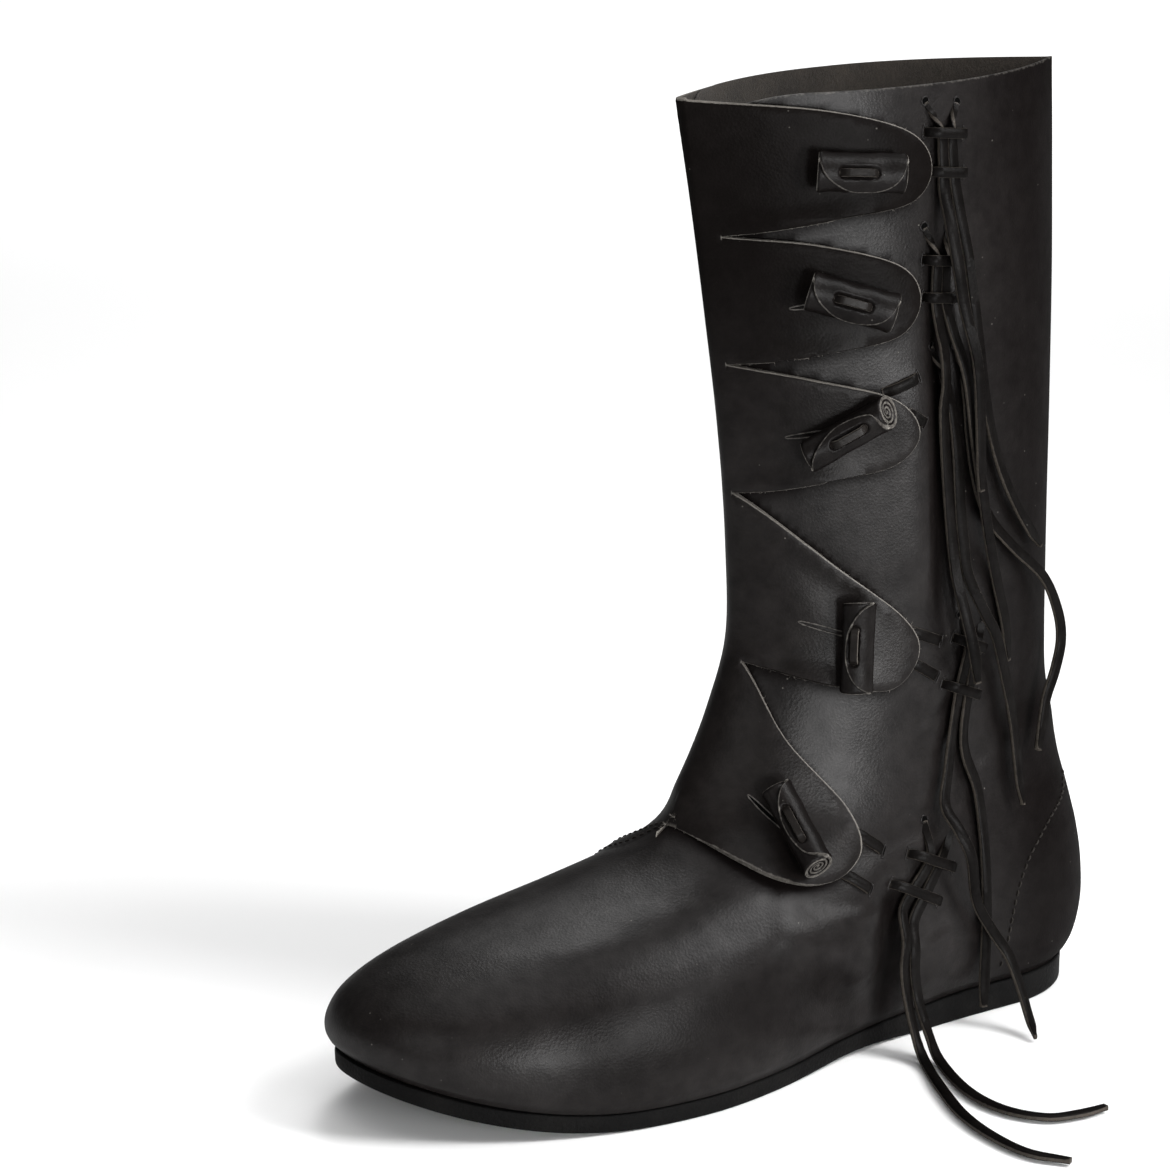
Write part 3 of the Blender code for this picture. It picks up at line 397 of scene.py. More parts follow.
def suede_material(name, dark, pale):
    """Rough flesh side of leather, between two colours."""
    material, tree, shader = new_material(name, {"Roughness": 0.95, "Specular IOR Level": 0.13,
                                                 "Sheen Weight": 0.12, "Sheen Roughness": 0.6})
    rough = put(tree, "ShaderNodeGroup", {"Dark": (*dark, 1.0), "Pale": (*pale, 1.0)},
                node_tree=flesh_side).outputs
    wire(tree, shader, {"Base Color": rough["Color"], "Normal": bumps(tree, rough["Height"], 0.8, 0.0005)})
    return material


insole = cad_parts["insole"].data
insole.materials.clear()
insole.materials.append(suede_material("insole_leather", (0.030, 0.022, 0.016), (0.085, 0.066, 0.050)))

# Vamp and outer quarter: the main wall of black oiled leather, 2.2 mm thick, grain out and flesh in.
# It runs from the turned-in edge at the sole to the collar, and dips under the flaps at the front fold.
WALL, WALL_HIGH = 2.2, 330.0
QUARTER_COLUMNS, QUARTER_ROWS, LINING_ROWS = 280, 210, 56
COLLAR_DIP, COLLAR_RING_RISE = 7.0, 31.5
COLLAR_SKIVE, COLLAR_ROUND, COLLAR_CUT = 1.1, 0.25, 0.45
COLLAR_SKIVE_RINGS, RIM_SHARES = 0.7, (0.28, 0.72)
DIP_OUT_TO, DIP_OUT_FADE, DIP_IN_TO, DIP_IN_FADE = 0.03, 0.13, 0.02, 0.08
SUNK_UNDER_LAP, SUNK_FROM, SUNK_FADE = 0.7, 0.5, 3.0
SOLE_TUCK, SOLE_TUCK_RINGS = 0.8, 0.45
CREASE_ENDS, CREASE_LEFT_AT_ENDS = 0.18, 0.25
CREASE_LOWEST, CREASE_LOW_FADE = 8.0, 14.0
CREASE_HIGHEST, CREASE_HIGH_FADE = 325.0, 40.0
SEAM = [(165.2, 81.6), (164.6, 72.0), (165.6, 60.0), (164.6, 47.0), (158.0, 31.0), (147.0, 16.0),
        (139.0, 6.0)]
Crease = namedtuple("Crease", "side deep wide points")
CREASES = [
    Crease(1, 3.5, 5.0, [(79.0, 262.0), (78.0, 235.0), (77.5, 205.0), (76.5, 180.0), (74.5, 155.0),
                         (72.0, 132.0)]),
    Crease(1, 1.6, 8.0, [(68.0, 230.0), (66.0, 206.0), (63.0, 182.0), (59.0, 156.0), (55.0, 131.0),
                         (51.0, 108.0)]),
    Crease(1, -1.4, 10.0, [(89.0, 236.0), (87.0, 205.0), (86.0, 178.0), (84.0, 156.0)]),
    Crease(1, 1.5, 13.0, [(78.0, 116.0), (66.0, 100.0), (55.0, 86.0)]),
    Crease(1, 3.4, 7.5, [(98.0, 62.0), (100.5, 48.0), (102.0, 34.0), (103.0, 18.0), (103.5, 3.0)]),
    Crease(1, -1.3, 13.0, [(116.0, 56.0), (118.0, 42.0), (116.0, 26.0)]),
    Crease(1, -1.6, 9.0, [(84.0, 38.0), (82.0, 26.0), (84.0, 16.0)]),
    Crease(1, -1.7, 8.5, [(156.0, 58.0), (138.0, 47.0), (124.0, 38.5), (113.0, 33.0), (107.0, 30.0)]),
    Crease(1, 1.6, 8.0, [(148.0, 34.0), (131.0, 25.0), (118.0, 19.0), (109.0, 16.0)]),
    Crease(1, 1.3, 7.0, [(128.0, 172.0), (112.0, 158.0), (100.0, 148.0)]),
    Crease(-1, 2.2, 10.0, [(128.0, 104.0), (104.0, 92.0), (78.0, 90.0), (50.0, 96.0)]),
    Crease(-1, 1.8, 8.0, [(140.0, 84.0), (120.0, 70.0), (98.0, 64.0)]),
    Crease(-1, -1.5, 9.0, [(134.0, 96.0), (112.0, 81.0), (88.0, 77.0)]),
    Crease(-1, 1.8, 11.0, [(72.0, 230.0), (74.0, 190.0), (66.0, 140.0)]),
    Crease(-1, 1.5, 9.0, [(128.0, 196.0), (112.0, 160.0), (106.0, 128.0)]),
]
Flap = namedtuple("Flap", "notch upper shoulder tip low_shoulder lower")
FLAPS = [
    Flap((160.9, 321.0), (121.6, 316.8), (94.0, 308.5), (85.6, 297.0), (93.0, 286.0), (118.0, 282.0)),
    Flap((148.6, 276.9), (123.0, 273.9), (97.5, 266.0), (90.0, 254.5), (97.0, 243.2), (118.0, 238.8)),
    Flap((144.3, 234.6), (122.0, 229.6), (98.5, 222.4), (90.2, 211.0), (97.5, 200.6), (118.0, 196.0)),
    Flap((139.8, 191.2), (116.0, 168.3), (92.8, 148.2), (87.2, 135.0), (97.0, 124.0), (116.4, 126.4)),
    Flap((137.6, 133.6), (131.0, 109.0), (116.0, 86.0), (115.0, 71.5), (128.0, 64.2), (148.0, 67.2)),
]
THROAT = (164.9, 80.7)
BALL_SIDE = [(241.0, 33.0), (226.0, 30.0), (206.0, 28.0), (186.0, 32.0), (165.0, 34.0), (148.0, 34.0)]
DEEP_CREASE = 3.0
FLAP_SHADE, FLAP_SHADE_FADE = 14.0, 6.0
BALL_SHADE = 15.0
BACK_SHADE_FROM, BACK_SHADE_FADE = 72.0, 44.0
SPECK = (0.2, 0.19, 0.17, 1.0)


def run_along(line):
    """Length along a line up to each of its points."""
    return np.concatenate([[0.0], np.cumsum(np.linalg.norm(np.diff(line, axis=0), axis=1))])


def line_at(line, run, stops):
    """Points of a line at these lengths along it."""
    return np.stack([np.interp(stops, run, column) for column in line.T], 1)


def spread_evenly(line, count):
    run = run_along(line)
    return line_at(line, run, np.linspace(0.0, run[-1], count))


def smooth_through(points, count):
    points = np.asarray(points, float)
    return spread_evenly(smooth_rows(points, np.linspace(0.0, len(points) - 1.0, 40 * len(points))), count)


def bell(away, wide):
    return np.exp(-(away / wide)**2)


def faded(run, share):
    """1 along a run from 0 to 1, fading out at both of its ends."""
    return ease(run / share) * ease((1.0 - run) / share)


def line_distance(fore, up, points):
    """Distance from a line in the side view, the side of it (left of its run is 1), and the run there."""
    points = np.asarray(points, float)
    best = np.full(np.shape(fore), np.inf)
    turn, run_at = np.zeros_like(best), np.zeros_like(best)
    run = 0.0
    for start, stop in zip(points[:-1], points[1:]):
        step = stop - start
        long = np.hypot(*step)
        part = np.clip(((fore - start[0]) * step[0] + (up - start[1]) * step[1]) / long**2, 0.0, 1.0)
        off_fore, off_up = fore - start[0] - part * step[0], up - start[1] - part * step[1]
        away = np.hypot(off_fore, off_up)
        nearer = away < best
        best = np.where(nearer, away, best)
        turn = np.where(nearer, np.sign(step[0] * off_up - step[1] * off_fore), turn)
        run_at = np.where(nearer, run + part * long, run_at)
        run += long
    return best, turn, run_at / run


crease_lines = [(crease, smooth_through(crease.points, 24)) for crease in CREASES]
seam_line = smooth_through(SEAM, 60)
flap_ends = [*(flap.notch for flap in FLAPS[1:]), THROAT]


def crease_height(points):
    """How far the leather stands out of the last at these points, from the listed creases."""
    fore, up = -points[..., 1], points[..., 2]
    height = np.zeros(fore.shape)
    for crease, line in crease_lines:
        away, _, run = line_distance(fore, up, line)
        here = np.where(points[..., 0] * crease.side > 0.0, 1.0, 0.0)
        ends = CREASE_LEFT_AT_ENDS + (1.0 - CREASE_LEFT_AT_ENDS) * faded(run, CREASE_ENDS)
        height -= here * crease.deep * bell(away, crease.wide) * ends
    height *= ease((up - CREASE_LOWEST) / CREASE_LOW_FADE)
    return height * ease((CREASE_HIGHEST - up) / CREASE_HIGH_FADE)


def behind_seam(points):
    """Distance behind the lapped seam on the inner side, negative on its toe side."""
    away, turn, _ = line_distance(-points[..., 1], points[..., 2], seam_line)
    return away * -turn


def sole_tuck(ring_at):
    """How far the wall is drawn in just above the sole."""
    return -SOLE_TUCK * (1.0 - ease(ring_at / SOLE_TUCK_RINGS))


# Painted shade: a field that darkens the leather and lowers its gloss under and just below the flaps, in the
# deepest creases where the thongs' shadow falls, beside the ball and towards the back.
def dull_places(points):
    """Painted shade on the quarter: by the flaps, in deep creases, beside the ball and towards the back."""
    fore, up = -points[..., 1], points[..., 2]
    dull = np.zeros(fore.shape)
    for flap, end in zip(FLAPS, flap_ends):
        away, turn, run = line_distance(fore, up, smooth_through([*flap, end], 60))
        below_edge = 0.5 + 2.6 * ease((run - 0.5) / 0.15)
        flap_shadow = np.where(turn > 0.0, 1.0, bell(away, below_edge))
        dull = np.maximum(dull, flap_shadow * ease((FLAP_SHADE - away) / FLAP_SHADE_FADE))
    for crease, line in crease_lines:
        if crease.side > 0 and crease.deep > DEEP_CREASE:
            away, _, run = line_distance(fore, up, line)
            dull = np.maximum(dull, crease.deep * 0.27 * bell(away, 0.9 * crease.wide) * faded(run, 0.2))
    away, _, run = line_distance(fore, up, smooth_through(BALL_SIDE, 24))
    dull = np.maximum(dull, 0.8 * bell(away, BALL_SHADE) * ease(run / 0.2) * (1.0 - 0.4 * run))
    dull = np.where(points[..., 0] > 0.0, dull, 0.0)
    return np.maximum(dull, 0.85 * ease((BACK_SHADE_FROM - fore) / BACK_SHADE_FADE))


def joining_faces(one, two, sides):
    """Quads between two closed rings of points, given by their first points."""
    return [(one + k, one + (k + 1) % sides, two + (k + 1) % sides, two + k) for k in range(sides)]


columns = np.arange(QUARTER_COLUMNS) / QUARTER_COLUMNS
signed = np.where(columns > 0.5, columns - 1.0, columns)
dip_out = 1.0 - ease((signed - DIP_OUT_TO) / DIP_OUT_FADE)
dip_in = 1.0 - ease((-signed - DIP_IN_TO) / DIP_IN_FADE)
dip = np.where(signed >= 0.0, dip_out, dip_in)
top_ring = COLLAR - COLLAR_DIP * dip / COLLAR_RING_RISE


def quarter_grid(rows):
    share = np.linspace(0.0, 1.0, rows)[:, None]
    around = np.broadcast_to(columns, (rows, QUARTER_COLUMNS))
    ring_at = share * top_ring
    return around, ring_at, last_point(around, ring_at), outward(around, ring_at)


around, ring_at, base, normal = quarter_grid(QUARTER_ROWS)
signed = np.where(around > 0.5, around - 1.0, around)
inner = np.where(signed < 0.0, 1.0, 0.0) * ease((signed + 0.5) / 0.05)
sunk = -SUNK_UNDER_LAP * inner * ease((behind_seam(base) - SUNK_FROM) / SUNK_FADE)
outside = base + normal * (crease_height(base) + sunk + sole_tuck(ring_at))[..., None]
_, ring_in, base_in, normal_in = quarter_grid(LINING_ROWS)
thin_top = COLLAR_SKIVE * ease((ring_in - COLLAR + COLLAR_SKIVE_RINGS) / COLLAR_SKIVE_RINGS)
lining = base_in + normal_in * (crease_height(base_in) - WALL + thin_top)[..., None]
lining[0, :, 2] = outside[0, :, 2]
rim_rounding = np.stack([outside[-1] * (1.0 - share) + lining[-1] * share for share in RIM_SHARES])
rim_rounding[..., 2] += COLLAR_ROUND
points = np.concatenate([outside, rim_rounding, lining[::-1]]).reshape(-1, 3)
total_rows = QUARTER_ROWS + 2 + LINING_ROWS
faces = ring_faces(total_rows, QUARTER_COLUMNS)
faces += joining_faces((total_rows - 1) * QUARTER_COLUMNS, 0, QUARTER_COLUMNS)
flesh_slots = np.repeat(np.arange(total_rows) > QUARTER_ROWS, QUARTER_COLUMNS)
down = np.linspace(WALL_HIGH, 0.0, QUARTER_ROWS)
cut_rows = np.concatenate([COLLAR_CUT * bell(down, 0.4), np.full(2, COLLAR_CUT), np.zeros(LINING_ROWS)])
# Painted shade for the quarter's outside. It darkens the leather and takes away its gloss. The rim and lining
# get none.
dull = np.concatenate([dull_places(base).reshape(-1), np.zeros((2 + LINING_ROWS) * QUARTER_COLUMNS)])

oiled, given, result = new_group(
    "oiled_leather", {"Dark": COLOUR, "Rubbed": COLOUR, "Wear": NUMBER, "Shine": NUMBER},
    {"Color": COLOUR, "Roughness": NUMBER, "Gloss": NUMBER, "Height": NUMBER})
place = object_place(oiled)
clouds = noise_of(oiled, place, 24.0, 7.0, Roughness=0.62)
mottle = noise_of(oiled, place, 160.0, 5.0, Roughness=0.65)
pores = noise_of(oiled, place, 2600.0, 3.0)
pebbles, dots = (put(oiled, "ShaderNodeTexVoronoi",
                     {"Vector": place, "Scale": scale, "Randomness": 1.0}).outputs
                 for scale in (1100.0, 210.0))
picked = put(oiled, "ShaderNodeSeparateColor", {"Color": dots["Color"]}).outputs["Red"]
speck = times(oiled, stretch(oiled, dots["Distance"], 0.03, 0.07, 1.0, 0.0),
              stretch(oiled, picked, 0.74, 0.84))
rubbed = plus(oiled, stretch(oiled, clouds, 0.35, 0.7, 0.1, 0.5),
              stretch(oiled, mottle, 0.35, 0.75, -0.1, 0.45))
tone = blend_of(oiled, times(oiled, rubbed, given["Wear"]), given["Dark"], given["Rubbed"])
streaks = plus(oiled, clouds, times(oiled, mottle, 0.5))
polish = stretch(oiled, plus(oiled, clouds, times(oiled, mottle, 0.6)), 0.55, 1.05, 0.75, 1.25)
relief = plus(oiled, times(oiled, pebbles["Distance"], 0.55), times(oiled, pores, 0.35))
wire(oiled, result, {
    "Color": blend_of(oiled, times(oiled, speck, 0.35), tone, SPECK),
    "Roughness": stretch(oiled, streaks, 0.5, 1.0, 0.30, 0.45),
    "Gloss": times(oiled, polish, given["Shine"]),
    "Height": plus(oiled, relief, times(oiled, mottle, 0.3)),
})


def leather_material(name, dark, rubbed, wear, shine, edge=(0.17, 0.158, 0.142)):
    """Black leather, darker and less glossy where the painted-shade field says, and raw paler fibre where
    "cut" marks a cut edge.
    """
    material, tree, shader = new_material(name, {"Specular IOR Level": 0.0, "Coat Roughness": 0.36})
    dull, mark = (put(tree, "ShaderNodeAttribute", {}, attribute_name=field).outputs["Fac"]
                  for field in ("dull", "cut"))
    skin = put(tree, "ShaderNodeGroup", {
        "Dark": (*dark, 1.0),
        "Rubbed": (*rubbed, 1.0),
        "Wear": stretch(tree, dull, 0.0, 1.0, wear, wear * 0.2),
        "Shine": shine,
    }, node_tree=oiled).outputs
    raw = put(tree, "ShaderNodeGroup", {
        "Dark": (*(part * 0.35 for part in edge), 1.0),
        "Pale": (*edge, 1.0),
    }, node_tree=flesh_side).outputs
    torn = noise_of(tree, object_place(tree), 700.0, 3.0)
    bare = stretch(tree, plus(tree, mark, times(tree, torn, 0.5)), 0.65, 1.0)
    grain = bumps(tree, skin["Height"], 0.2, 0.0004)
    wire(tree, shader, {
        "Base Color": blend_of(tree, bare, skin["Color"], raw["Color"]),
        "Roughness": plus(tree, skin["Roughness"], times(tree, bare, 0.35)),
        "Coat Weight": times(tree, skin["Gloss"], stretch(tree, dull, 0.0, 1.0, 1.0, 0.12)),
        "Normal": grain,
        "Coat Normal": grain,
    })
    return material


black_leather = leather_material("black_oiled_leather", (0.0028, 0.0022, 0.0021), (0.0112, 0.0093, 0.0088),
                                 0.75, 0.29)
flesh_leather = suede_material("flesh_side_leather", (0.0030, 0.0024, 0.0019), (0.040, 0.032, 0.025))
add_piece("vamp_and_outer_quarter", points, faces, [black_leather, flesh_leather], "black_leather", "upper",
          flesh_slots, cut=np.repeat(cut_rows, QUARTER_COLUMNS), dull=dull)

# Inner quarter and flaps: one piece of the same leather that lies on the inner side, folds round the
# shin and ends in five cut flaps on the outer side. Its lower front edge goes under the vamp.
FLAP_GAP, FLAP_THICK = 0.6, 2.2
TIP_LIFT, TIP_LIFT_FROM, TIP_LIFT_RISE = 1.8, 0.05, 0.17
EDGE_LIFT, EDGE_LIFT_WIDE = 1.6, 5.0
LOWER_EDGE_SHADED_CUT, COLLAR_EDGE_FROM = 0.62, 318.0
PANEL_SHADE, PANEL_SHADE_FROM, PANEL_SHADE_FADE = 0.9, 195.0, 75.0
UNDER_VAMP = 6.0
INNER_PROUD, SEAM_PROUD, BACK_PROUD = 0.5, 0.35, 0.1
INNER_SUNK, LEAST_THICK = 0.35, 0.25
PANEL_BACK = -0.497
PATTERN = np.array([330.0, 1.0])
EDGE_STEP, GRID_STEP, GRID_CLEAR = 1.3, 2.3, 1.5
EDGE_ROUND, ON_EDGE, NEAR_EDGE = 0.55, 0.05, 1.2


def ring_at_height(around_at, up):
    """Ring place at a height, where around_at gives the place around at a ring place."""
    low, high = np.zeros_like(up), np.full_like(up, COLLAR)
    for _ in range(40):
        middle = (low + high) / 2.0
        below = last_point(around_at(middle), middle)[..., 2] < up
        low, high = np.where(below, middle, low), np.where(below, high, middle)
    return (low + high) / 2.0


def place_on_side(fore, up, side=1.0):
    """Place around and ring place of a point given by fore and up on the outer (1) or inner (-1) side."""
    fore, up = np.broadcast_arrays(np.asarray(fore, float), np.asarray(up, float))

    def around_at(ring_at):
        ends = smooth_rows(RINGS, ring_at)
        along = np.clip((ends[..., 0] - fore) / (ends[..., 0] - ends[..., 2]), 0.0, 1.0)
        return side * np.arccos(1.0 - 2.0 * along) / (2.0 * np.pi)

    ring_at = ring_at_height(around_at, up)
    return around_at(ring_at), ring_at


def on_side(fore, up, off=0.0, side=1.0):
    """Point at a height off above the outer or inner side, given by fore and up, and its normal."""
    around, ring_at = place_on_side(fore, up, side)
    normal = outward(around, ring_at)
    point = last_point(around, ring_at)
    return point + np.broadcast_to(off, point.shape[:-1])[..., None] * normal, normal


def to_left(ahead):
    """Direction to the left of a direction in the plane."""
    return np.stack([-ahead[..., 1], ahead[..., 0]], -1)


def evenly(line):
    """Line in the pattern plane with points about a step apart, without its last point."""
    line = np.asarray(line) * PATTERN
    return list(spread_evenly(line, max(int(run_along(line)[-1] / EDGE_STEP), 2) + 1)[:-1])


def flap_lift(fore, up):
    """How far a flap stands off the quarter: most at its tip and along its lower edge."""
    around, _ = place_on_side(fore, up)
    lift = TIP_LIFT * ease((around - TIP_LIFT_FROM) / TIP_LIFT_RISE)
    for flap, below in zip(FLAPS, FLAPS[1:]):
        edge = smooth_through([flap.low_shoulder, flap.lower, below.notch], 40)
        away, turn, run = line_distance(fore, up, edge)
        near = bell(away, EDGE_LIFT_WIDE) * np.where(turn > 0.0, 1.0, 0.0)
        lift = lift + EDGE_LIFT * near * ease(run / 0.6) * ease((1.0 - run) / 0.25)
    return lift


outline = []
for flap, end in zip(FLAPS, flap_ends):
    cut_line = smooth_through([*flap, end], 240)
    around, _ = place_on_side(*cut_line.T)
    outline += evenly(np.stack([around, cut_line[:, 1]], 1))
under_vamp = seam_line + to_left(unit(np.gradient(seam_line, axis=0))) * UNDER_VAMP
around, ring_at = place_on_side(*under_vamp.T, side=-1.0)
under_vamp = np.stack([around, last_point(around, ring_at)[:, 2]], 1)
under_vamp = under_vamp[under_vamp[:, 1] < THROAT[1] - 3.0]
sole_line = np.linspace(under_vamp[-1][0], PANEL_BACK, 120)
sole_line = np.stack([sole_line, last_point(sole_line, 0.1)[:, 2]], 1)
under_vamp = under_vamp[under_vamp[:, 1] > sole_line[0][1] + 1.0]
collar_up = FLAPS[0].notch[1]
outline += evenly([(0.0, THROAT[1]), *under_vamp, sole_line[0]])
outline += evenly(sole_line)
outline += evenly([sole_line[-1], (PANEL_BACK, collar_up + 1.4)])
outline += evenly([(PANEL_BACK, collar_up + 1.4), (-0.2, collar_up + 0.7), (0.0, collar_up)])
outline = np.array(outline)
edge_step = np.roll(outline, -1, axis=0) - outline
along_edge = unit(np.roll(outline, -1, axis=0) - np.roll(outline, 1, axis=0))


def clear_of_edge(places):
    """Distance from the pattern's edge, and whether the places lie inside it."""
    clear, crossings = np.full(len(places), np.inf), np.zeros(len(places), int)
    for start, step in zip(outline, edge_step):
        toward = places - start
        part = np.clip((toward @ step) / (step @ step), 0.0, 1.0)
        clear = np.minimum(clear, np.linalg.norm(toward - part[:, None] * step, axis=1))
        crossing = (start[1] > places[:, 1]) != (start[1] + step[1] > places[:, 1])
        at = start[0] + step[0] * toward[:, 1] / (step[1] if step[1] else 1.0)
        crossings += crossing & (at > places[:, 0])
    return clear, crossings % 2 == 1


low, high = outline.min(axis=0), outline.max(axis=0)
grid = np.stack(np.meshgrid(*(np.arange(low[k], high[k], GRID_STEP) for k in (0, 1))), -1)
grid[1::2, :, 0] += GRID_STEP / 2.0
grid = grid.reshape(-1, 2)
clear, inside = clear_of_edge(grid)
grid = grid[inside & (clear > GRID_CLEAR)]
border = np.concatenate([outline + to_left(along_edge) * EDGE_ROUND * turn for turn in (1.0, -1.0)])
clear, inside = clear_of_edge(border)
border = border[inside & (clear > 0.8 * EDGE_ROUND)]
count = len(outline)
flat, _, triangles, *_ = delaunay_2d_cdt(
    [tuple(spot) for spot in np.concatenate([outline, border, grid])],
    [(k, (k + 1) % count) for k in range(count)], [list(range(count))], 1, 1e-5)
flat = np.array([tuple(spot) for spot in flat])
around, up = (flat / PATTERN).T
clear, _ = clear_of_edge(flat)
ring_at = ring_at_height(lambda _: around, np.minimum(up, SHAFT[-1].front_up - 0.05))
ring_at = np.where(up > collar_up - 0.1, COLLAR, ring_at)
base, panel_normal = last_point(around, ring_at), outward(around, ring_at)
base[:, 2] = np.where(up > SHAFT[-1].front_up - 2.0, np.maximum(base[:, 2], up), base[:, 2])
inner = around < 0.0
behind = np.where(inner, behind_seam(base), 99.0)
from_throat = np.hypot(-base[:, 1] - THROAT[0], base[:, 2] - THROAT[1])
fold = ease((around + 0.13) / 0.11)
proud = INNER_PROUD + (FLAP_GAP + FLAP_THICK - INNER_PROUD) * fold
proud = SEAM_PROUD + (proud - SEAM_PROUD) * ease(behind / 14.0) * ease((from_throat + 2.0) / 12.0)
at_back = BACK_PROUD + (proud - BACK_PROUD) * ease((around + 0.5) / 0.08)
proud = np.where(around < -0.4, at_back, proud)
proud -= np.where(inner, 0.5 * (1.0 - ease((ring_at - 0.1) / 0.6)), 0.0)
proud -= np.where(inner & (behind < 0.0), 0.9 * ease(-behind / 3.0), 0.0)
hidden = np.where(inner, -INNER_SUNK + (FLAP_GAP + INNER_SUNK) * fold, FLAP_GAP)
hidden = np.minimum(hidden, proud - LEAST_THICK)
lift = crease_height(base) + np.where(inner | (around == 0.0), 0.0, flap_lift(-base[:, 1], base[:, 2]))
panel_over = base + panel_normal * (proud + lift - 0.3 * (1.0 - ease(clear / EDGE_ROUND)))[:, None]
panel_under = base + panel_normal * (hidden + lift)[:, None]
total = len(flat)
sides = {pair for triangle in triangles for pair in zip(triangle, triangle[1:] + triangle[:1])}
rim_pairs = sorted((start, stop) for start, stop in sides if (stop, start) not in sides)
one, two, three = panel_over[triangles[0]]
flip = -1 if np.cross(two - one, three - one) @ panel_normal[triangles[0][0]] < 0.0 else 1
faces = [tuple(corner + total for corner in triangle)[::flip] for triangle in triangles]
faces += [tuple(triangle)[::-flip] for triangle in triangles]
faces += [(start, stop, stop + total, start + total)[::flip] for start, stop in rim_pairs]
flesh_slots = np.repeat([0, 1, 0], [len(triangles), len(triangles), len(rim_pairs)])
# The raw cut edges of the flaps are pale, with a painted highlight where they face up and painted shade where
# they face down.
edge_up = np.zeros(total)
edge_up[clear < NEAR_EDGE] = [along_edge[np.argmin(np.hypot(*(outline - spot).T)), 0]
                              for spot in flat[clear < NEAR_EDGE]]
raw_edge_and_top_light = LOWER_EDGE_SHADED_CUT + (1.0 - LOWER_EDGE_SHADED_CUT) * ease(0.5 + edge_up)
raw_edge_and_top_light = np.where((around > -0.02) | (up > COLLAR_EDGE_FROM), raw_edge_and_top_light, 0.0)
cut = np.concatenate([np.where(clear < ON_EDGE, raw_edge_and_top_light, 0.0), raw_edge_and_top_light * bell(clear, 0.35)])
flap_leather = leather_material("flap_leather", (0.0030, 0.0024, 0.0022), (0.0115, 0.0094, 0.0088),
                                0.75, 0.22)
# Painted shade on the flaps near the collar: they are darker and less glossy towards the top.
add_piece("inner_quarter_and_flaps", np.concatenate([panel_under, panel_over]), faces,
          [flap_leather, flesh_leather], "black_leather", "flap_panel", flesh_slots, sharp=1.0, cut=cut,
          dull=np.tile(PANEL_SHADE * ease((up - PANEL_SHADE_FROM) / PANEL_SHADE_FADE), 2))

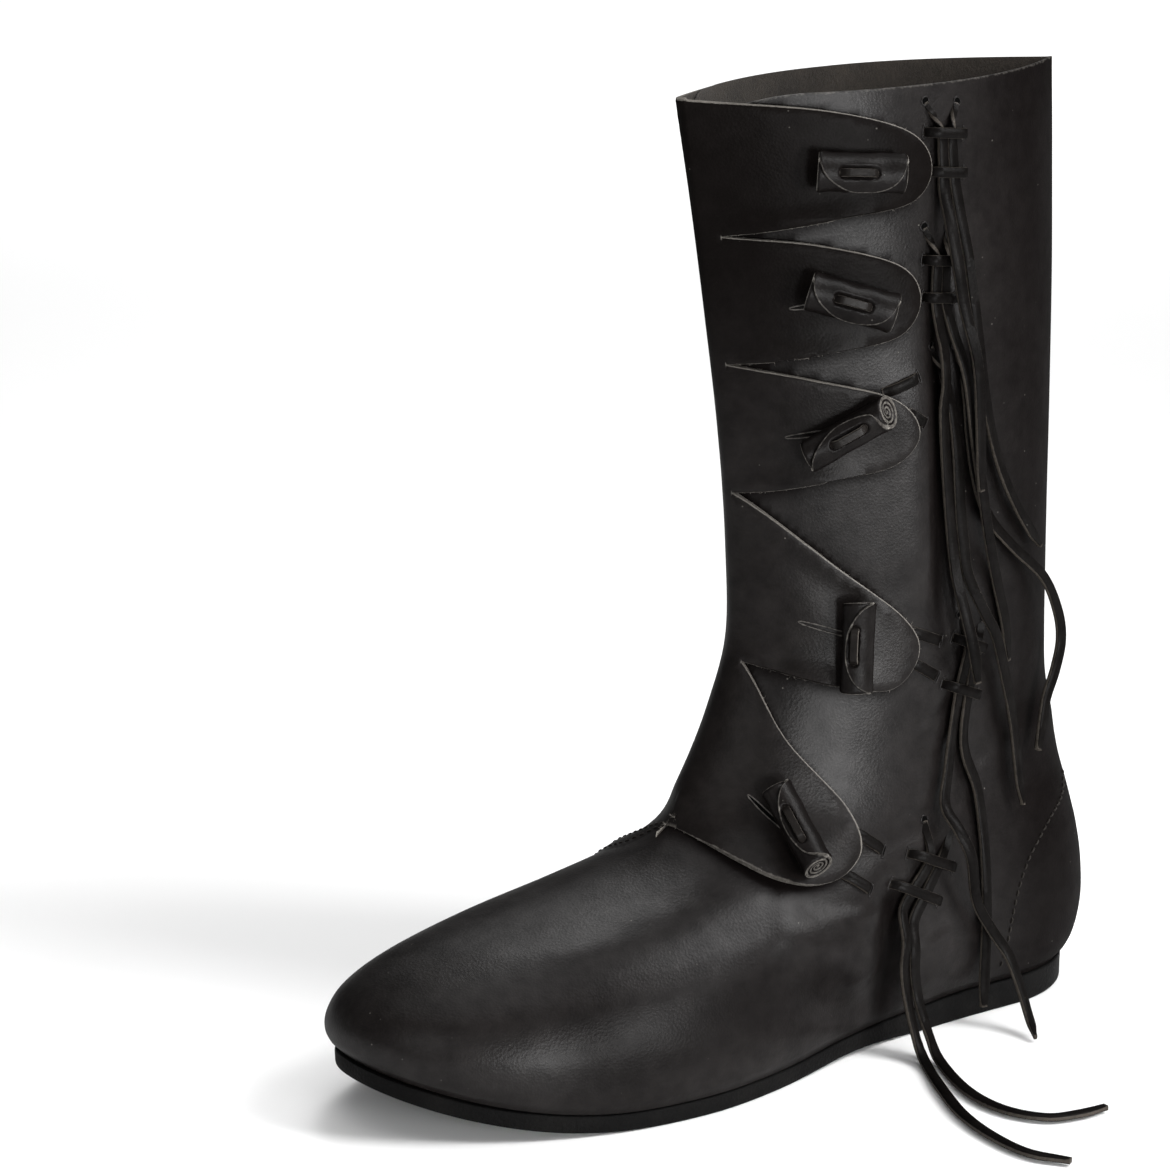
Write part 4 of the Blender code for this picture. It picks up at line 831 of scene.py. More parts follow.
# Thong ends: flat strips of the same leather, 4 mm wide and 1.7 mm thick, that come out of holes in the
# quarter, run down under the keepers and hang free. Two lie on the floor, and a third touches it.
On = namedtuple("On", "fore up off")
At = namedtuple("At", "out fore up")
THONGS = {
    "thong_1_front": [On(84.0, 316.6, 1.8), On(80.0, 308.0, 1.9), On(79.2, 298.0, 1.9), On(79.1, 288.0, 2.0),
                      On(79.0, 277.0, 5.2), On(77.4, 264.0, 7.3), On(74.4, 250.0, 7.4), On(70.6, 232.6, 8.7),
                      On(68.2, 212.4, 8.7), On(66.6, 188.4, 8.2)],
    "thong_1_rear": [On(71.0, 315.4, 1.8), On(75.2, 307.2, 1.9), On(74.9, 293.4, 1.9), On(73.2, 283.0, 2.0),
                     On(70.8, 272.0, 2.2), On(69.0, 263.0, 2.4), On(66.0, 241.7, 2.8), On(61.6, 217.8, 3.0),
                     On(55.2, 196.6, 3.0), On(45.6, 179.4, 3.2), On(29.0, 161.2, 3.0)],
    "thong_2_front": [On(85.6, 276.4, 1.8), On(82.4, 267.0, 1.9), On(82.0, 253.4, 1.9), On(80.8, 244.0, 3.6),
                      On(79.8, 236.0, 5.6), On(78.8, 225.0, 5.4), On(77.8, 213.4, 3.4), On(74.0, 181.7, 2.6),
                      On(71.4, 160.0, 3.6), On(69.6, 146.0, 6.8), On(67.4, 134.0, 7.4),
                      On(65.8, 122.0, 7.4)],
    "thong_2_rear": [On(76.2, 275.4, 1.8), On(78.0, 266.2, 1.9), On(77.6, 253.0, 1.9), On(75.4, 243.0, 3.4),
                     On(71.6, 227.0, 5.4), On(67.0, 205.0, 5.4), On(63.4, 188.0, 5.4), On(59.2, 169.5, 5.2),
                     On(52.4, 153.8, 2.4), On(47.2, 138.3, 1.9), On(45.2, 124.6, 1.9)],
    "thong_3_front": [On(81.6, 237.0, 1.8), On(75.6, 223.0, 1.9), On(72.2, 205.0, 1.9), On(69.8, 181.0, 1.9),
                      On(68.4, 170.0, 2.2), On(66.4, 158.5, 2.8), On(59.6, 144.2, 5.2), On(55.8, 138.0, 5.6),
                      On(52.6, 131.6, 4.8), On(48.6, 120.0, 4.0), On(44.4, 103.1, 4.0), On(41.9, 81.6, 4.0),
                      On(41.2, 73.0, 4.0)],
    "thong_3_rear": [On(71.8, 236.0, 1.8), On(69.0, 222.0, 1.9), On(66.0, 205.0, 1.9), On(62.6, 190.0, 1.9),
                     On(57.0, 177.0, 1.9), On(46.0, 165.0, 2.6), At(26.0, 27.6, 151.0),
                     At(22.6, 17.6, 136.8), At(21.6, 14.6, 125.5), At(23.4, 18.4, 115.8),
                     At(27.0, 25.2, 107.8), At(30.2, 29.6, 100.2), At(33.2, 33.8, 92.0)],
    "thong_4_front": [On(66.6, 143.6, 1.8), On(64.5, 134.6, 1.9), On(68.8, 119.4, 1.9), On(70.8, 106.0, 2.2),
                      On(73.4, 91.5, 2.6), On(76.4, 80.0, 3.4), On(75.6, 71.0, 7.4), On(72.6, 62.3, 8.8),
                      On(68.2, 46.7, 6.0), On(60.7, 34.9, 6.2), At(45.4, 55.0, 26.0), At(49.4, 53.0, 16.0),
                      At(55.0, 53.6, 7.0), At(63.0, 57.0, 1.9)],
    "thong_4_rear": [On(55.2, 139.6, 1.8), On(60.1, 132.8, 1.9), On(64.2, 117.6, 1.9), On(65.6, 104.0, 1.9),
                     On(63.4, 94.6, 1.9), On(59.2, 83.0, 1.9), On(58.6, 70.3, 1.9), On(59.0, 57.0, 1.9),
                     On(59.4, 40.0, 1.9), At(38.8, 59.6, 18.0), At(39.6, 60.4, 6.4)],
    "thong_5_front": [On(83.4, 75.8, 1.8), On(84.9, 64.6, 1.9), On(93.0, 55.2, 1.9), On(97.0, 48.4, 2.2),
                      At(45.2, 99.6, 39.8), At(45.6, 100.6, 30.3), At(46.6, 99.8, 20.0),
                      At(52.0, 100.2, 8.0), At(60.0, 102.4, 2.0), At(80.0, 112.0, 1.9),
                      At(99.7, 119.9, 1.9), At(118.0, 123.5, 1.9), At(135.4, 123.0, 1.9),
                      At(148.0, 116.0, 1.9)],
    "thong_5_rear": [On(70.6, 70.8, 1.8), On(80.6, 61.8, 1.9), On(88.8, 51.8, 1.9), On(93.4, 44.0, 2.0),
                     At(44.6, 95.4, 36.0), At(45.2, 95.8, 28.0), At(46.8, 95.0, 18.0), At(53.0, 95.2, 7.6),
                     At(62.0, 97.6, 2.0), At(85.6, 106.0, 1.9), At(104.0, 106.6, 1.9), At(117.0, 99.6, 1.9),
                     At(121.0, 88.8, 1.9), At(121.6, 77.8, 1.9)],
}
THONG_WIDE, THONG_THICK = 3.9, 1.7
ON_FLOOR, HOLE_DEPTH = 4.0, 0.6
THONG_STEP, THONG_SLANT, THONG_SWAY = 1.6, 9.0, 14.0
HoleEnd = namedtuple("HoleEnd", "twist slim")
UPPER_HOLES_FROM = 200.0
UPPER_HOLE_END, LOWER_HOLE_END = HoleEnd(200.0, 0.52), HoleEnd(40.0, 0.75)
STRAP_SIDE_CUT, STRAP_END_CUT = 0.75, 0.8
STRAP_ROUND = [(-0.5, -0.28), (-0.42, -0.5), (0.0, -0.5), (0.42, -0.5), (0.5, -0.28),
               (0.5, 0.28), (0.42, 0.5), (0.0, 0.5), (-0.42, 0.5), (-0.5, 0.28)]


def add_strap(name, centres, normals, wide, thick, material, slot, stands_for):
    """Flat strap with eased corners, its middle line along the centres, cut at its sides and both ends."""
    ahead = unit(np.gradient(centres, axis=0))
    upright = unit(normals - ahead * np.sum(normals * ahead, axis=1)[:, None])
    across = np.cross(ahead, upright)
    rows, sides = len(centres), len(STRAP_ROUND)
    wide, thick = np.broadcast_to(wide, rows), np.broadcast_to(thick, rows)
    rings = np.stack([centres + across * (wide * beside)[:, None] + upright * (thick * rise)[:, None]
                      for beside, rise in STRAP_ROUND], 1)
    faces = ring_faces(rows, sides)
    faces += [tuple(range(sides))[::-1], tuple(range((rows - 1) * sides, rows * sides))]
    cut = np.tile([STRAP_SIDE_CUT if abs(beside) == 0.5 else 0.0 for beside, _ in STRAP_ROUND], (rows, 1))
    cut[0] = cut[-1] = STRAP_END_CUT
    return add_piece(name, rings.reshape(-1, 3), faces, [material], slot, stands_for, sharp=0.9,
                     cut=cut.reshape(-1))


thong_leather = leather_material("thong_leather", (0.0018, 0.0015, 0.0014), (0.0065, 0.0056, 0.0052),
                                 0.8, 0.08, (0.070, 0.061, 0.052))
dice = np.random.default_rng(7)
for name, stops in THONGS.items():
    route, facing = [], []
    for number, stop in enumerate(stops):
        if isinstance(stop, On):
            point, normal = on_side(stop.fore, stop.up, stop.off if number else -HOLE_DEPTH)
            point = point + normal * crease_height(point)
        else:
            point = np.array([stop.out, -stop.fore, stop.up])
            normal = np.array([0.0, 0.0, 1.0]) if stop.up < ON_FLOOR else facing[-1]
        route.append(point)
        facing.append(normal)
    place = np.linspace(0.0, len(route) - 1.0, 60 * len(route))
    line = smooth_rows(np.array(route), place)
    turned = smooth_rows(np.array(facing), place)
    run = run_along(line)
    spots = np.linspace(0.0, run[-1], int(run[-1] / THONG_STEP))
    line, turned = line_at(line, run, spots), unit(line_at(turned, run, spots))
    ahead = unit(np.gradient(line, axis=0))
    roll = np.radians(THONG_SWAY) * np.sin(spots / dice.uniform(18.0, 30.0) + dice.uniform(0.0, 6.0))
    roll = roll * ease(spots / 40.0) * ease((line[:, 2] - 2.0) / 8.0)
    twist, slim = UPPER_HOLE_END if stops[0].up > UPPER_HOLES_FROM else LOWER_HOLE_END
    roll = roll + np.radians(twist) * (1.0 - ease((spots - 1.0) / 13.0))
    turned = turned * np.cos(roll)[:, None] + np.cross(ahead, turned) * np.sin(roll)[:, None]
    width = THONG_WIDE * (1.0 + 0.06 * np.sin(spots / 13.0 + dice.uniform(0.0, 6.0)))
    width = width * (slim + (1.0 - slim) * ease((spots - 7.0) / 9.0))
    width = width * (1.0 - dice.uniform(0.25, 0.75) * ease((spots - run[-1] + THONG_SLANT) / THONG_SLANT))
    strap = add_strap(name + "_strap", line, turned, width, THONG_THICK, thong_leather, "black_leather",
                      name)

# Keepers: short bars of the same thong that come out of one slit, pass over the thong ends and go back
# in through another. There are two under each pair of holes but the third.
Bar = namedtuple("Bar", "name start end")
BARS = [
    Bar("keeper_1_upper", (85.0, 307.3), (68.6, 305.5)),
    Bar("keeper_1_lower", (84.4, 294.7), (69.0, 293.0)),
    Bar("keeper_2_upper", (86.4, 266.4), (73.2, 264.9)),
    Bar("keeper_2_lower", (86.4, 254.2), (73.2, 252.7)),
    Bar("keeper_4_upper", (69.6, 136.8), (55.4, 130.6)),
    Bar("keeper_4_lower", (74.6, 121.8), (58.4, 115.2)),
    Bar("keeper_5_upper", (92.8, 67.2), (72.8, 58.0)),
    Bar("keeper_5_lower", (101.2, 58.8), (80.4, 48.2)),
]
BAR_RISE, BAR_DEPTH, BAR_BEND = 3.7, 0.9, 0.26
BAR_THICK, BAR_NARROW, BAR_SPREAD, BAR_STEPS = 1.5, 2.7, 0.8, 25
SlitPlace = namedtuple("SlitPlace", "start end off open pale")
SLIT_HALF, SLIT_OPEN, SLIT_BEHIND, SLIT_PALE = 2.3, 0.5, 0.2, 0.3
slit_places = []


def side_strap(name, line, off, wide, thick):
    """Strap on the outer side along a line of fore and up, its middle at the heights off."""
    centres, normals = on_side(*line.T, off)
    centres = centres + normals * crease_height(centres)[:, None]
    add_strap(name + "_strap", centres, normals, wide, thick, thong_leather, "black_leather", name)


def slit_across(end, other):
    """Marks a slit at the end of a strap, at right angles to it."""
    run = unit(np.subtract(other, end))
    middle, half = np.asarray(end) - run * SLIT_BEHIND, to_left(run) * SLIT_HALF
    slit_places.append(SlitPlace(middle - half, middle + half, 0.0, SLIT_OPEN, SLIT_PALE))


part = np.linspace(0.0, 1.0, BAR_STEPS)
from_end = np.minimum(part, 1.0 - part)
rise = np.sqrt(np.clip(1.0 - (1.0 - np.minimum(from_end / BAR_BEND, 1.0))**2, 0.0, 1.0))
off, wide = -BAR_DEPTH + (BAR_RISE + BAR_DEPTH) * rise, BAR_NARROW + BAR_SPREAD * rise
for bar in BARS:
    side_strap(bar.name, np.linspace(bar.start, bar.end, BAR_STEPS), off, wide, BAR_THICK)
    slit_across(bar.start, bar.end)
    slit_across(bar.end, bar.start)

# Tabs: the ends of the thongs that hold the flaps' toggles, which come out from under the flap's edge
# and go through a slit to the inside.
Tab = namedtuple("Tab", "start end")
TABS = [
    Tab((97.2, 225.0), (88.6, 228.2)),
    Tab((89.0, 214.6), (86.0, 212.6)),
    Tab((85.6, 140.9), (75.0, 136.4)),
    Tab((85.4, 129.9), (77.0, 124.6)),
    Tab((112.4, 77.0), (103.0, 69.9)),
    Tab((119.0, 64.4), (111.5, 59.0)),
]
TAB_WIDE, TAB_THICK, TAB_STEPS = 3.7, 1.4, 15
TAB_UNDER_FLAP = 4.0
TAB_START, TAB_RISE, TAB_DIP = -0.25, 1.0, 1.5
part = np.linspace(0.0, 1.0, TAB_STEPS)
off = TAB_START + TAB_RISE * ease(part / 0.35) - TAB_DIP * ease((part - 0.82) / 0.18)
for number, tab in enumerate(TABS, 1):
    start = np.asarray(tab.start) - unit(np.subtract(tab.end, tab.start)) * TAB_UNDER_FLAP
    side_strap(f"tab_{number}", np.linspace(start, tab.end, TAB_STEPS), off, TAB_WIDE, TAB_THICK)
    slit_across(tab.end, tab.start)

# Toggles: strips of leather rolled up tight, the tongue-shaped end of the strip outermost, lying
# across a slit in the flap. The roll's layers show as a spiral at both ends.
Toggle = namedtuple("Toggle", "fore up turn lift front_bevel back_bevel wide slot_along slot_up tongue "
                    "slit_from slit_to")
TOGGLES = [
    Toggle(112.5, 297.0, -4.0, -0.4, -0.35, 0.1, 1.32, -2.4, 1.0, 1.0, None, None),
    Toggle(114.3, 255.8, -17.0, -0.6, -0.35, 0.1, 1.32, -1.0, 0.9, 1.0, (130.5, 253.7), (114.3, 255.8)),
    Toggle(114.0, 213.4, 28.0, -0.3, -0.3, 0.7, 1.12, -0.4, 0.3, -1.0, (129.6, 211.0), (114.0, 213.4)),
    Toggle(109.5, 140.5, 88.0, 0.4, 0.0, -0.2, 1.12, 1.4, 2.6, -1.0, (124.3, 148.5), (108.0, 142.6)),
    Toggle(136.6, 78.5, -70.0, 2.4, -0.1, 0.4, 1.10, -0.8, -2.0, 1.0, (144.6, 91.6), (136.6, 78.5)),
]
TOGGLE_LONG, TOGGLE_RADIUS, TOGGLE_WRAP, TOGGLE_SUNK = 30.0, 5.6, 1.3, 0.55
ROLL_ROWS, ROLL_COLUMNS, ROLL_CAP = 72, 90, 26
ROLL_FLAT = 0.88
TONGUE_ROOT, TONGUE_LONG = 42.0, 97.0
ROLL_LUMPS, ROLL_END_ROUND, BEVEL_RUN = 0.12, 0.55, 7.0
SLOT_HALF, SLOT_DEEP = 5.3, 1.2
FLAP_SLIT_OPEN, FLAP_SLIT_PALE = 0.8, 0.62
Roll = namedtuple("Roll", "toggle centre axis across normal")


def side_frame(fore, up, turn):
    """Point on the outer side, an axis turned in the surface, the axis across it and the normal."""
    point, normal = on_side(fore, up)
    level = unit(np.cross(normal, (0.0, 0.0, 1.0)))
    level *= np.sign(level[1])
    rise = np.cross(normal, level)
    rise *= np.sign(rise[2])
    turn = np.radians(turn)
    axis = level * np.cos(turn) + rise * np.sin(turn)
    return point, axis, np.cross(normal, axis), normal


def on_roll(roll, run, radius, turn):
    """Points of a roll from places along its axis, radii, and turns from its top."""
    beside = radius * np.sin(turn) * roll.toggle.tongue
    above = radius * np.cos(turn)
    return (roll.centre + run[..., None] * roll.axis + beside[..., None] * roll.across * roll.toggle.wide
            + above[..., None] * roll.normal * ROLL_FLAT)


toggle_leather = leather_material("toggle_leather", (0.0024, 0.0019, 0.0018), (0.0090, 0.0075, 0.0070),
                                  0.75, 0.13)
half = TOGGLE_LONG / 2.0
along = np.linspace(-half, half, ROLL_ROWS)
from_end = (half - np.abs(along))[:, None]
tongue = np.radians(TONGUE_ROOT - TONGUE_LONG * np.sqrt(np.clip(1.0 - (along / (half * 0.95))**2, 0.0, 1.0)))
wrap = np.concatenate([[0.0, 0.0, 0.02, 0.05], np.linspace(0.09, 2.0 * np.pi - 0.03, ROLL_COLUMNS - 4)])
drop = np.concatenate([[TOGGLE_WRAP, 0.32, 0.10, 0.0], TOGGLE_WRAP * wrap[4:] / (2.0 * np.pi)])
turn = tongue[:, None] + wrap
share = np.linspace(0.94, 0.06, ROLL_CAP)[:, None]
rolls = []
for number, toggle in enumerate(TOGGLES, 1):
    point, axis, across, normal = side_frame(toggle.fore, toggle.up, toggle.turn)
    above = FLAP_GAP + FLAP_THICK + float(flap_lift(toggle.fore, toggle.up))
    centre = point + normal * (above + GAP + TOGGLE_RADIUS + toggle.lift - TOGGLE_SUNK)
    roll = Roll(toggle, centre, axis, across, normal)
    rolls.append(roll)
    slot_turn = toggle.tongue * toggle.slot_up / (TOGGLE_RADIUS * toggle.wide)
    from_middle = (turn - slot_turn + np.pi) % (2.0 * np.pi) - np.pi
    past_slot = np.maximum(np.abs(along - toggle.slot_along)[:, None] - SLOT_HALF, 0.0)
    from_slot = np.hypot(past_slot, from_middle * TOGGLE_RADIUS)
    radius = TOGGLE_RADIUS - drop - SLOT_DEEP * (1.0 - ease((from_slot - 1.35) / 0.6))
    radius = radius + ROLL_LUMPS * np.sin(along[:, None] * 0.55 + number) * np.sin(turn * 2.0 + number)
    radius -= ROLL_END_ROUND * bell(from_end, 0.5)
    bevel = np.where(along < 0.0, -toggle.front_bevel, toggle.back_bevel)
    bevel = bevel * ease((np.abs(along) - half + BEVEL_RUN) / BEVEL_RUN)
    run = along[:, None] - bevel[:, None] * radius * np.cos(turn)
    points = [on_roll(roll, run, radius, turn).reshape(-1, 3)]
    cut = np.where(wrap < 0.1, 0.52, 0.0) + 0.3 * bell(from_slot - 2.1, 0.25) + 0.7 * bell(from_end, 0.35)
    fields = [cut.reshape(-1)]
    faces = ring_faces(ROLL_ROWS, ROLL_COLUMNS)
    total = ROLL_ROWS * ROLL_COLUMNS
    for row, end in ((0, -1.0), (ROLL_ROWS - 1, 1.0)):
        cap_radius = radius[row] * share
        layer = (cap_radius + TOGGLE_WRAP * wrap / (2.0 * np.pi)) / TOGGLE_WRAP
        groove = np.abs(layer - np.round(layer))
        inward = 0.55 * bell(groove, 0.16) + 0.5 * (1.0 - share)
        run = end * (half - inward) - bevel[row] * cap_radius * np.cos(turn[row])
        points.append(on_roll(roll, run, cap_radius, turn[row]).reshape(-1, 3))
        fields.append((0.6 * (1.0 - bell(groove, 0.2))).reshape(-1))
        cap = joining_faces(row * ROLL_COLUMNS, total, ROLL_COLUMNS)
        cap += ring_faces(ROLL_CAP, ROLL_COLUMNS, total)
        total += ROLL_CAP * ROLL_COLUMNS
        cap.append(tuple(range(total - ROLL_COLUMNS, total)))
        faces += cap if end > 0.0 else [face[::-1] for face in cap]
    if toggle.tongue < 0.0:
        faces = [face[::-1] for face in faces]
    add_piece(f"toggle_{number}_roll", np.concatenate(points), faces, [toggle_leather], "black_leather",
              f"toggle_{number}", sharp=0.9, cut=np.concatenate(fields))
    if toggle.slit_from:
        slit_places.append(SlitPlace(np.array(toggle.slit_from), np.array(toggle.slit_to),
                                     FLAP_GAP + FLAP_THICK, FLAP_SLIT_OPEN, FLAP_SLIT_PALE))

# Toggle thongs: the loop of flat thong that ties each roll to the flap, seen where it lies in its slot
# on top of the roll.
LOOP_WIDE, LOOP_THICK = 2.5, 1.5
LOOP_DEEP, LOOP_RISE, LOOP_CROWN, LOOP_BEND = 1.7, 2.0, 0.25, 0.34
LOOP_PAST_SLOT, LOOP_STEPS = 1.0, 25
loop_leather = leather_material("loop_leather", (0.0036, 0.0030, 0.0027), (0.0150, 0.0128, 0.0115),
                                0.85, 0.16, (0.12, 0.107, 0.093))
spread = np.linspace(-1.0, 1.0, LOOP_STEPS)
rise = TOGGLE_RADIUS * ROLL_FLAT - LOOP_DEEP + LOOP_RISE * ease((1.0 - np.abs(spread)) / LOOP_BEND)
rise = rise + LOOP_CROWN * (1.0 - spread**2)
for number, (toggle, centre, axis, across, normal) in enumerate(rolls, 1):
    tilt = toggle.slot_up / (TOGGLE_RADIUS * toggle.wide)
    upright = normal * np.cos(tilt) + across * toggle.wide * np.sin(tilt)
    along = toggle.slot_along + spread * (SLOT_HALF + LOOP_PAST_SLOT)
    centres = centre + np.outer(along, axis) + np.outer(rise, upright)
    add_strap(f"toggle_loop_{number}_thong", centres, upright, LOOP_WIDE, LOOP_THICK, loop_leather,
              "raw_leather", f"toggle_loop_{number}")

# Slits and holes: short cuts in the leather through which the thongs, keepers and tabs pass, with raised
# raw lips and a flat black sheet of painted shade in each opening. Those under the toggles are cut in the
# flaps.
LIP_STEPS, LIP_SIDES = 32, 8
LIP_WIDE, LIP_HIGH, SHADE_SHEET_RISE = 0.34, 0.26, 0.08
HOLE_HALF, HOLE_OPEN, HOLE_BEHIND, HOLE_PALE = 1.5, 1.35, 0.7, 0.25
slit_painted_shade, _, _ = new_material("slit_painted_shade", {"Base Color": (0.002, 0.002, 0.002, 1.0), "Roughness": 1.0,
                                               "Specular IOR Level": 0.0})


def full_turn(count):
    return 2.0 * np.pi * np.arange(count) / count


def rings_round(centres, side, rise, count):
    """Rings of points round a line of centres, from the two half axes of each ring."""
    turn = full_turn(count)[:, None]
    return centres[:, None] + np.cos(turn) * side[:, None] + np.sin(turn) * rise[:, None]


for first_stop, next_stop, *_ in THONGS.values():
    away = unit(np.subtract(first_stop[:2], next_stop[:2]))
    middle, half = np.asarray(first_stop[:2]) + away * HOLE_BEHIND, to_left(away) * HOLE_HALF
    slit_places.append(SlitPlace(middle - half, middle + half, 0.0, HOLE_OPEN, HOLE_PALE))
lip_points, lip_faces, lip_cut, lip_slots = [], [], [], []
first = 0
turn = full_turn(LIP_STEPS)
bulge = np.sign(np.sin(turn)) * np.abs(np.sin(turn))**0.8
pale_top = np.tile(np.clip(np.sin(full_turn(LIP_SIDES)), 0.0, 1.0), LIP_STEPS)
for slit in slit_places:
    middle, half = (slit.start + slit.end) / 2.0, (slit.end - slit.start) / 2.0
    ring = middle + np.outer(np.cos(turn), half) + np.outer(bulge * slit.open, to_left(unit(half)))
    off = slit.off + flap_lift(*ring.T) if slit.off else 0.0
    centres, normals = on_side(*ring.T, off)
    centres = centres + normals * crease_height(centres)[:, None]
    ahead = unit(np.roll(centres, -1, axis=0) - np.roll(centres, 1, axis=0))
    lip = rings_round(centres, np.cross(ahead, normals) * LIP_WIDE, normals * LIP_HIGH, LIP_SIDES)
    # The centres, just off the surface, carry the flat black sheet of painted shade in the opening.
    lip_points += [lip.reshape(-1, 3), centres + normals * SHADE_SHEET_RISE]
    loops = ring_faces(LIP_STEPS, LIP_SIDES, first)
    loops += joining_faces(first + (LIP_STEPS - 1) * LIP_SIDES, first, LIP_SIDES)
    first += LIP_STEPS * LIP_SIDES
    lip_faces += [*loops, tuple(range(first, first + LIP_STEPS))]
    lip_slots += [0] * len(loops) + [1]
    lip_cut += [slit.pale * pale_top, np.zeros(LIP_STEPS)]
    first += LIP_STEPS
add_piece("slit_lips", np.concatenate(lip_points), lip_faces, [black_leather, slit_painted_shade], "black_leather",
          face_slots=lip_slots, sharp=1.2, cut=np.concatenate(lip_cut))

# Vamp seam: the vamp laps over the inner quarter and is sewn down along its edge in two rows. The raw
# edge faces the heel.
LAP = [(11.0, -0.12), (9.0, 0.12), (7.6, 0.42), (7.0, 0.34), (6.4, 0.55), (4.5, 0.95), (2.6, 1.2),
       (2.0, 1.12), (1.6, 1.0), (1.2, 1.1), (0.6, 1.16), (0.22, 1.05), (0.0, 0.75), (-0.05, 0.2),
       (-0.05, -0.75)]
LAP_ROWS = 110
LAP_LOWEST, LAP_NARROW, LAP_WIDENS = 6.5, 0.12, 12.0
lap_line = smooth_through(SEAM, LAP_ROWS)
lap_line = lap_line[lap_line[:, 1] > LAP_LOWEST]
to_toe = to_left(unit(np.gradient(lap_line, axis=0)))
widen = LAP_NARROW + (1.0 - LAP_NARROW) * ease(run_along(lap_line) / LAP_WIDENS)


def on_lap(shift, off):
    """Points and normals on the inner side at a distance to the toe side of the seam's edge."""
    moved = lap_line + to_toe * (shift * widen)[:, None]
    around, ring_at = place_on_side(*moved.T, side=-1.0)
    point, normal = last_point(around, ring_at), outward(around, ring_at)
    off = off * (0.45 + 0.55 * widen) + sole_tuck(ring_at) + crease_height(point)
    return point + normal * off[:, None], normal


lap_points = np.stack([on_lap(shift, off)[0] for shift, off in LAP], 1).reshape(-1, 3)
lap_faces = [face[::-1] for face in ring_faces(len(lap_line), len(LAP), closed=False)]
lap_cut = np.tile([0.9 if shift < 0.3 and off > -0.5 else 0.0 for shift, off in LAP], len(lap_line))
add_piece("vamp_lap", lap_points, lap_faces, [black_leather], "black_leather", "vamp_seam", sharp=1.0,
          cut=lap_cut)

# Stitching: dark waxed thread, in two rows along the vamp's edge and in one row round the heel
# counter that is sewn in between the leathers.
COUNTER = [(6.0, 76.5), (13.4, 70.1), (24.5, 64.9), (34.7, 57.0), (40.1, 49.8), (44.2, 40.7), (46.8, 30.5),
           (48.0, 22.4), (49.9, 14.5)]
STITCH_LONG, STITCH_STEP, THREAD_HALF = 2.3, 3.2, 0.34
STITCH_RINGS, THREAD_SIDES = 7, 6
STITCH_PROUD, STITCH_DIP = 0.26, 0.6
thread, tree, shader = new_material("waxed_thread", {"Roughness": 0.7, "Specular IOR Level": 0.1})
twist = noise_of(tree, object_place(tree), 1800.0, 2.0)
thread_tone = blend_of(tree, twist, (0.004, 0.0035, 0.003, 1.0), (0.024, 0.021, 0.018, 1.0))
wire(tree, shader, {"Base Color": thread_tone})


def stitch_row(name, line, normals):
    """Row of stitches along a line of points, each dipping into the leather at both ends."""
    run = run_along(line)
    steps = np.linspace(-1.0, 1.0, STITCH_RINGS)
    points, faces = [], []
    for middle in np.arange(STITCH_STEP, run[-1] - STITCH_STEP / 2.0, STITCH_STEP):
        spots = middle + steps * STITCH_LONG / 2.0
        spine, facing = line_at(line, run, spots), line_at(normals, run, spots)
        side = np.cross(unit(spine[-1] - spine[0]), facing)
        spine = spine + facing * (STITCH_PROUD - STITCH_DIP * steps**4)[:, None]
        faces += ring_faces(STITCH_RINGS, THREAD_SIDES, THREAD_SIDES * STITCH_RINGS * len(points))
        rings = rings_round(spine, side * THREAD_HALF, facing * THREAD_HALF, THREAD_SIDES)
        points.append(rings.reshape(-1, 3))
    add_piece(name, np.concatenate(points), faces, [thread], "black_leather", sharp=1.5)


for name, shift, off in (("seam_stitches_edge", 1.6, 0.95), ("seam_stitches_back", 7.0, 0.30)):
    stitch_row(name, *on_lap(shift, off))
counter_line = smooth_through(COUNTER, 60)
for name, side, off in (("counter_stitches_outer", 1.0, 0.0), ("counter_stitches_inner", -1.0, 0.45)):
    points, facing = on_side(*counter_line.T, off, side)
    stitch_row(name, points + facing * crease_height(points)[:, None], facing)

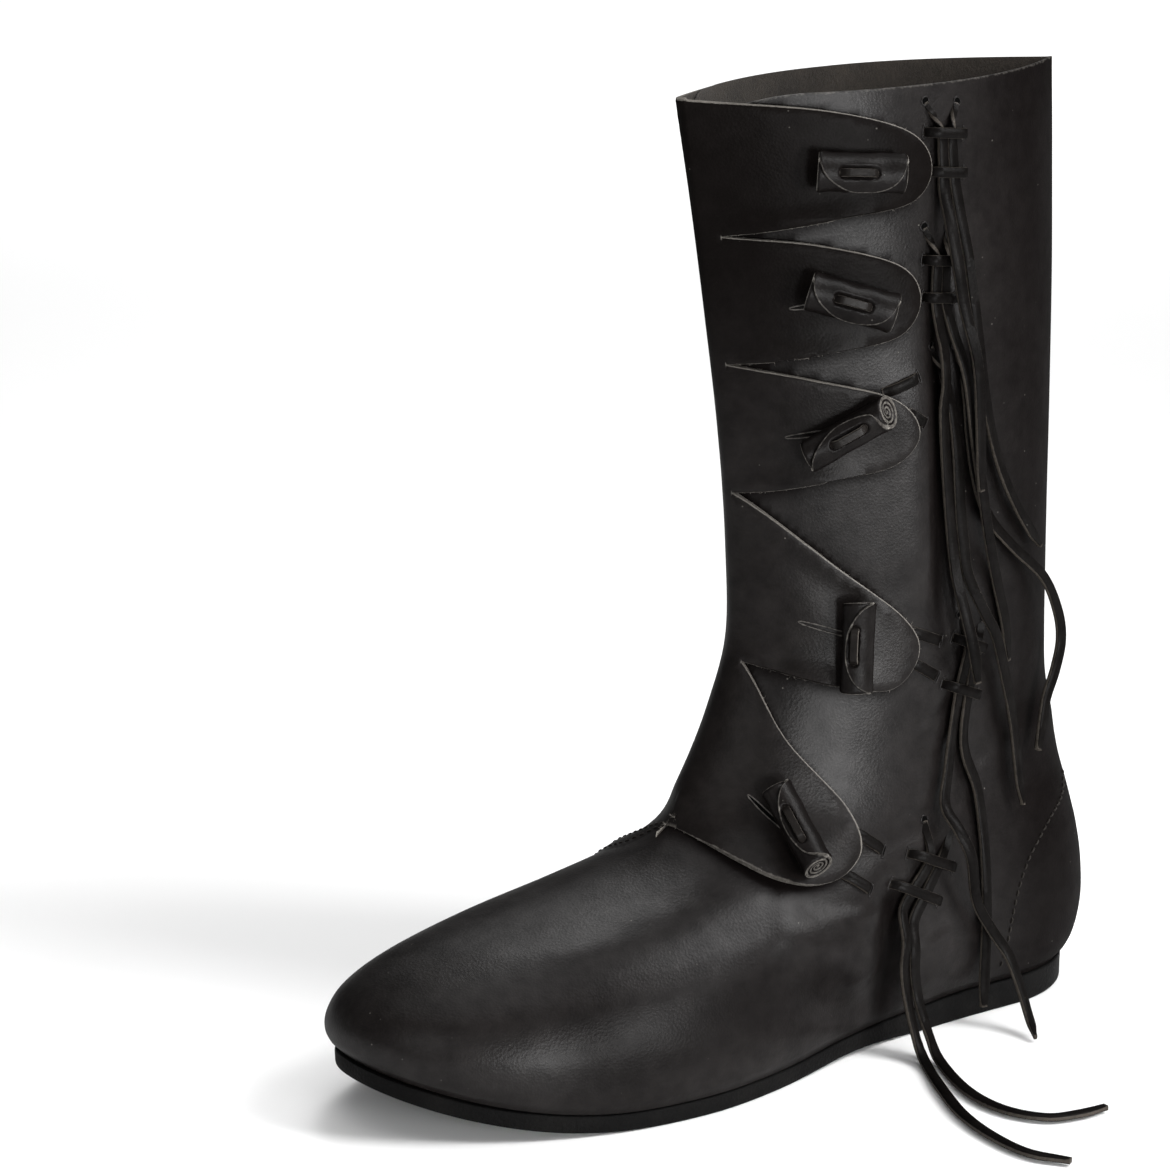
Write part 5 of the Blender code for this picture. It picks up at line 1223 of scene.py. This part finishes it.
# Frayed fibres: short pale fibres that stand out of the raw cut edges of the flaps and at the throat,
# where the leather is cut through and worn.
EDGE_FIBRES, THROAT_FIBRES = 900, 90
EDGE_FIBRE_LONG, THROAT_FIBRE_LONG = (0.35, 1.0), (0.5, 1.6)
FIBRE_HALF, FIBRE_SIDES = 0.055, 3
FIBRE_POINTS = 2 * FIBRE_SIDES + 1
fibre_leather = suede_material("frayed_fibre", (0.055, 0.050, 0.044), (0.22, 0.20, 0.175))
dice = np.random.default_rng(11)
shown = np.flatnonzero((outline[:, 0] > 5.0) & (outline[:, 1] > THROAT[1] - 20.0))
spots = [outline[pick] + along_edge[pick] * dice.uniform(-0.6, 0.6)
         for pick in dice.choice(shown, EDGE_FIBRES)]
spots += [np.array([dice.uniform(-3.0, 6.0), THROAT[1] + dice.normal(0.0, 0.9)])
          for _ in range(THROAT_FIBRES)]
part, halves = np.array([[0.0], [0.55]]), FIBRE_HALF * np.array([[1.0], [0.8]])
fibre_points, fibre_faces = [], []
for number, spot in enumerate(spots):
    nearest = np.argmin(np.hypot(*(flat - spot).T))
    root = panel_over[nearest] + (panel_under[nearest] - panel_over[nearest]) * dice.uniform(0.0, 0.5)
    long = dice.uniform(*(EDGE_FIBRE_LONG if number < EDGE_FIBRES else THROAT_FIBRE_LONG))
    lean = unit(panel_normal[nearest] * dice.uniform(0.2, 0.8) + dice.normal(0.0, 0.7, 3))
    bend = dice.normal(0.0, 0.35, 3)
    side = unit(np.cross(lean, bend))
    middles = root + lean * long * part + bend * long * part**2
    rings = rings_round(middles, side * halves, np.cross(lean, side) * halves, FIBRE_SIDES)
    fibre_points += [rings.reshape(-1, 3), [root + lean * long + bend * long]]
    first = FIBRE_POINTS * number
    tip = first + FIBRE_POINTS - 1
    upper = first + FIBRE_SIDES
    fibre_faces += joining_faces(first, upper, FIBRE_SIDES)
    fibre_faces += [(upper + k, upper + (k + 1) % FIBRE_SIDES, tip) for k in range(FIBRE_SIDES)]
add_piece("edge_fibres", np.concatenate(fibre_points), fibre_faces, [fibre_leather], "black_leather",
          sharp=2.0)

low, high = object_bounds()
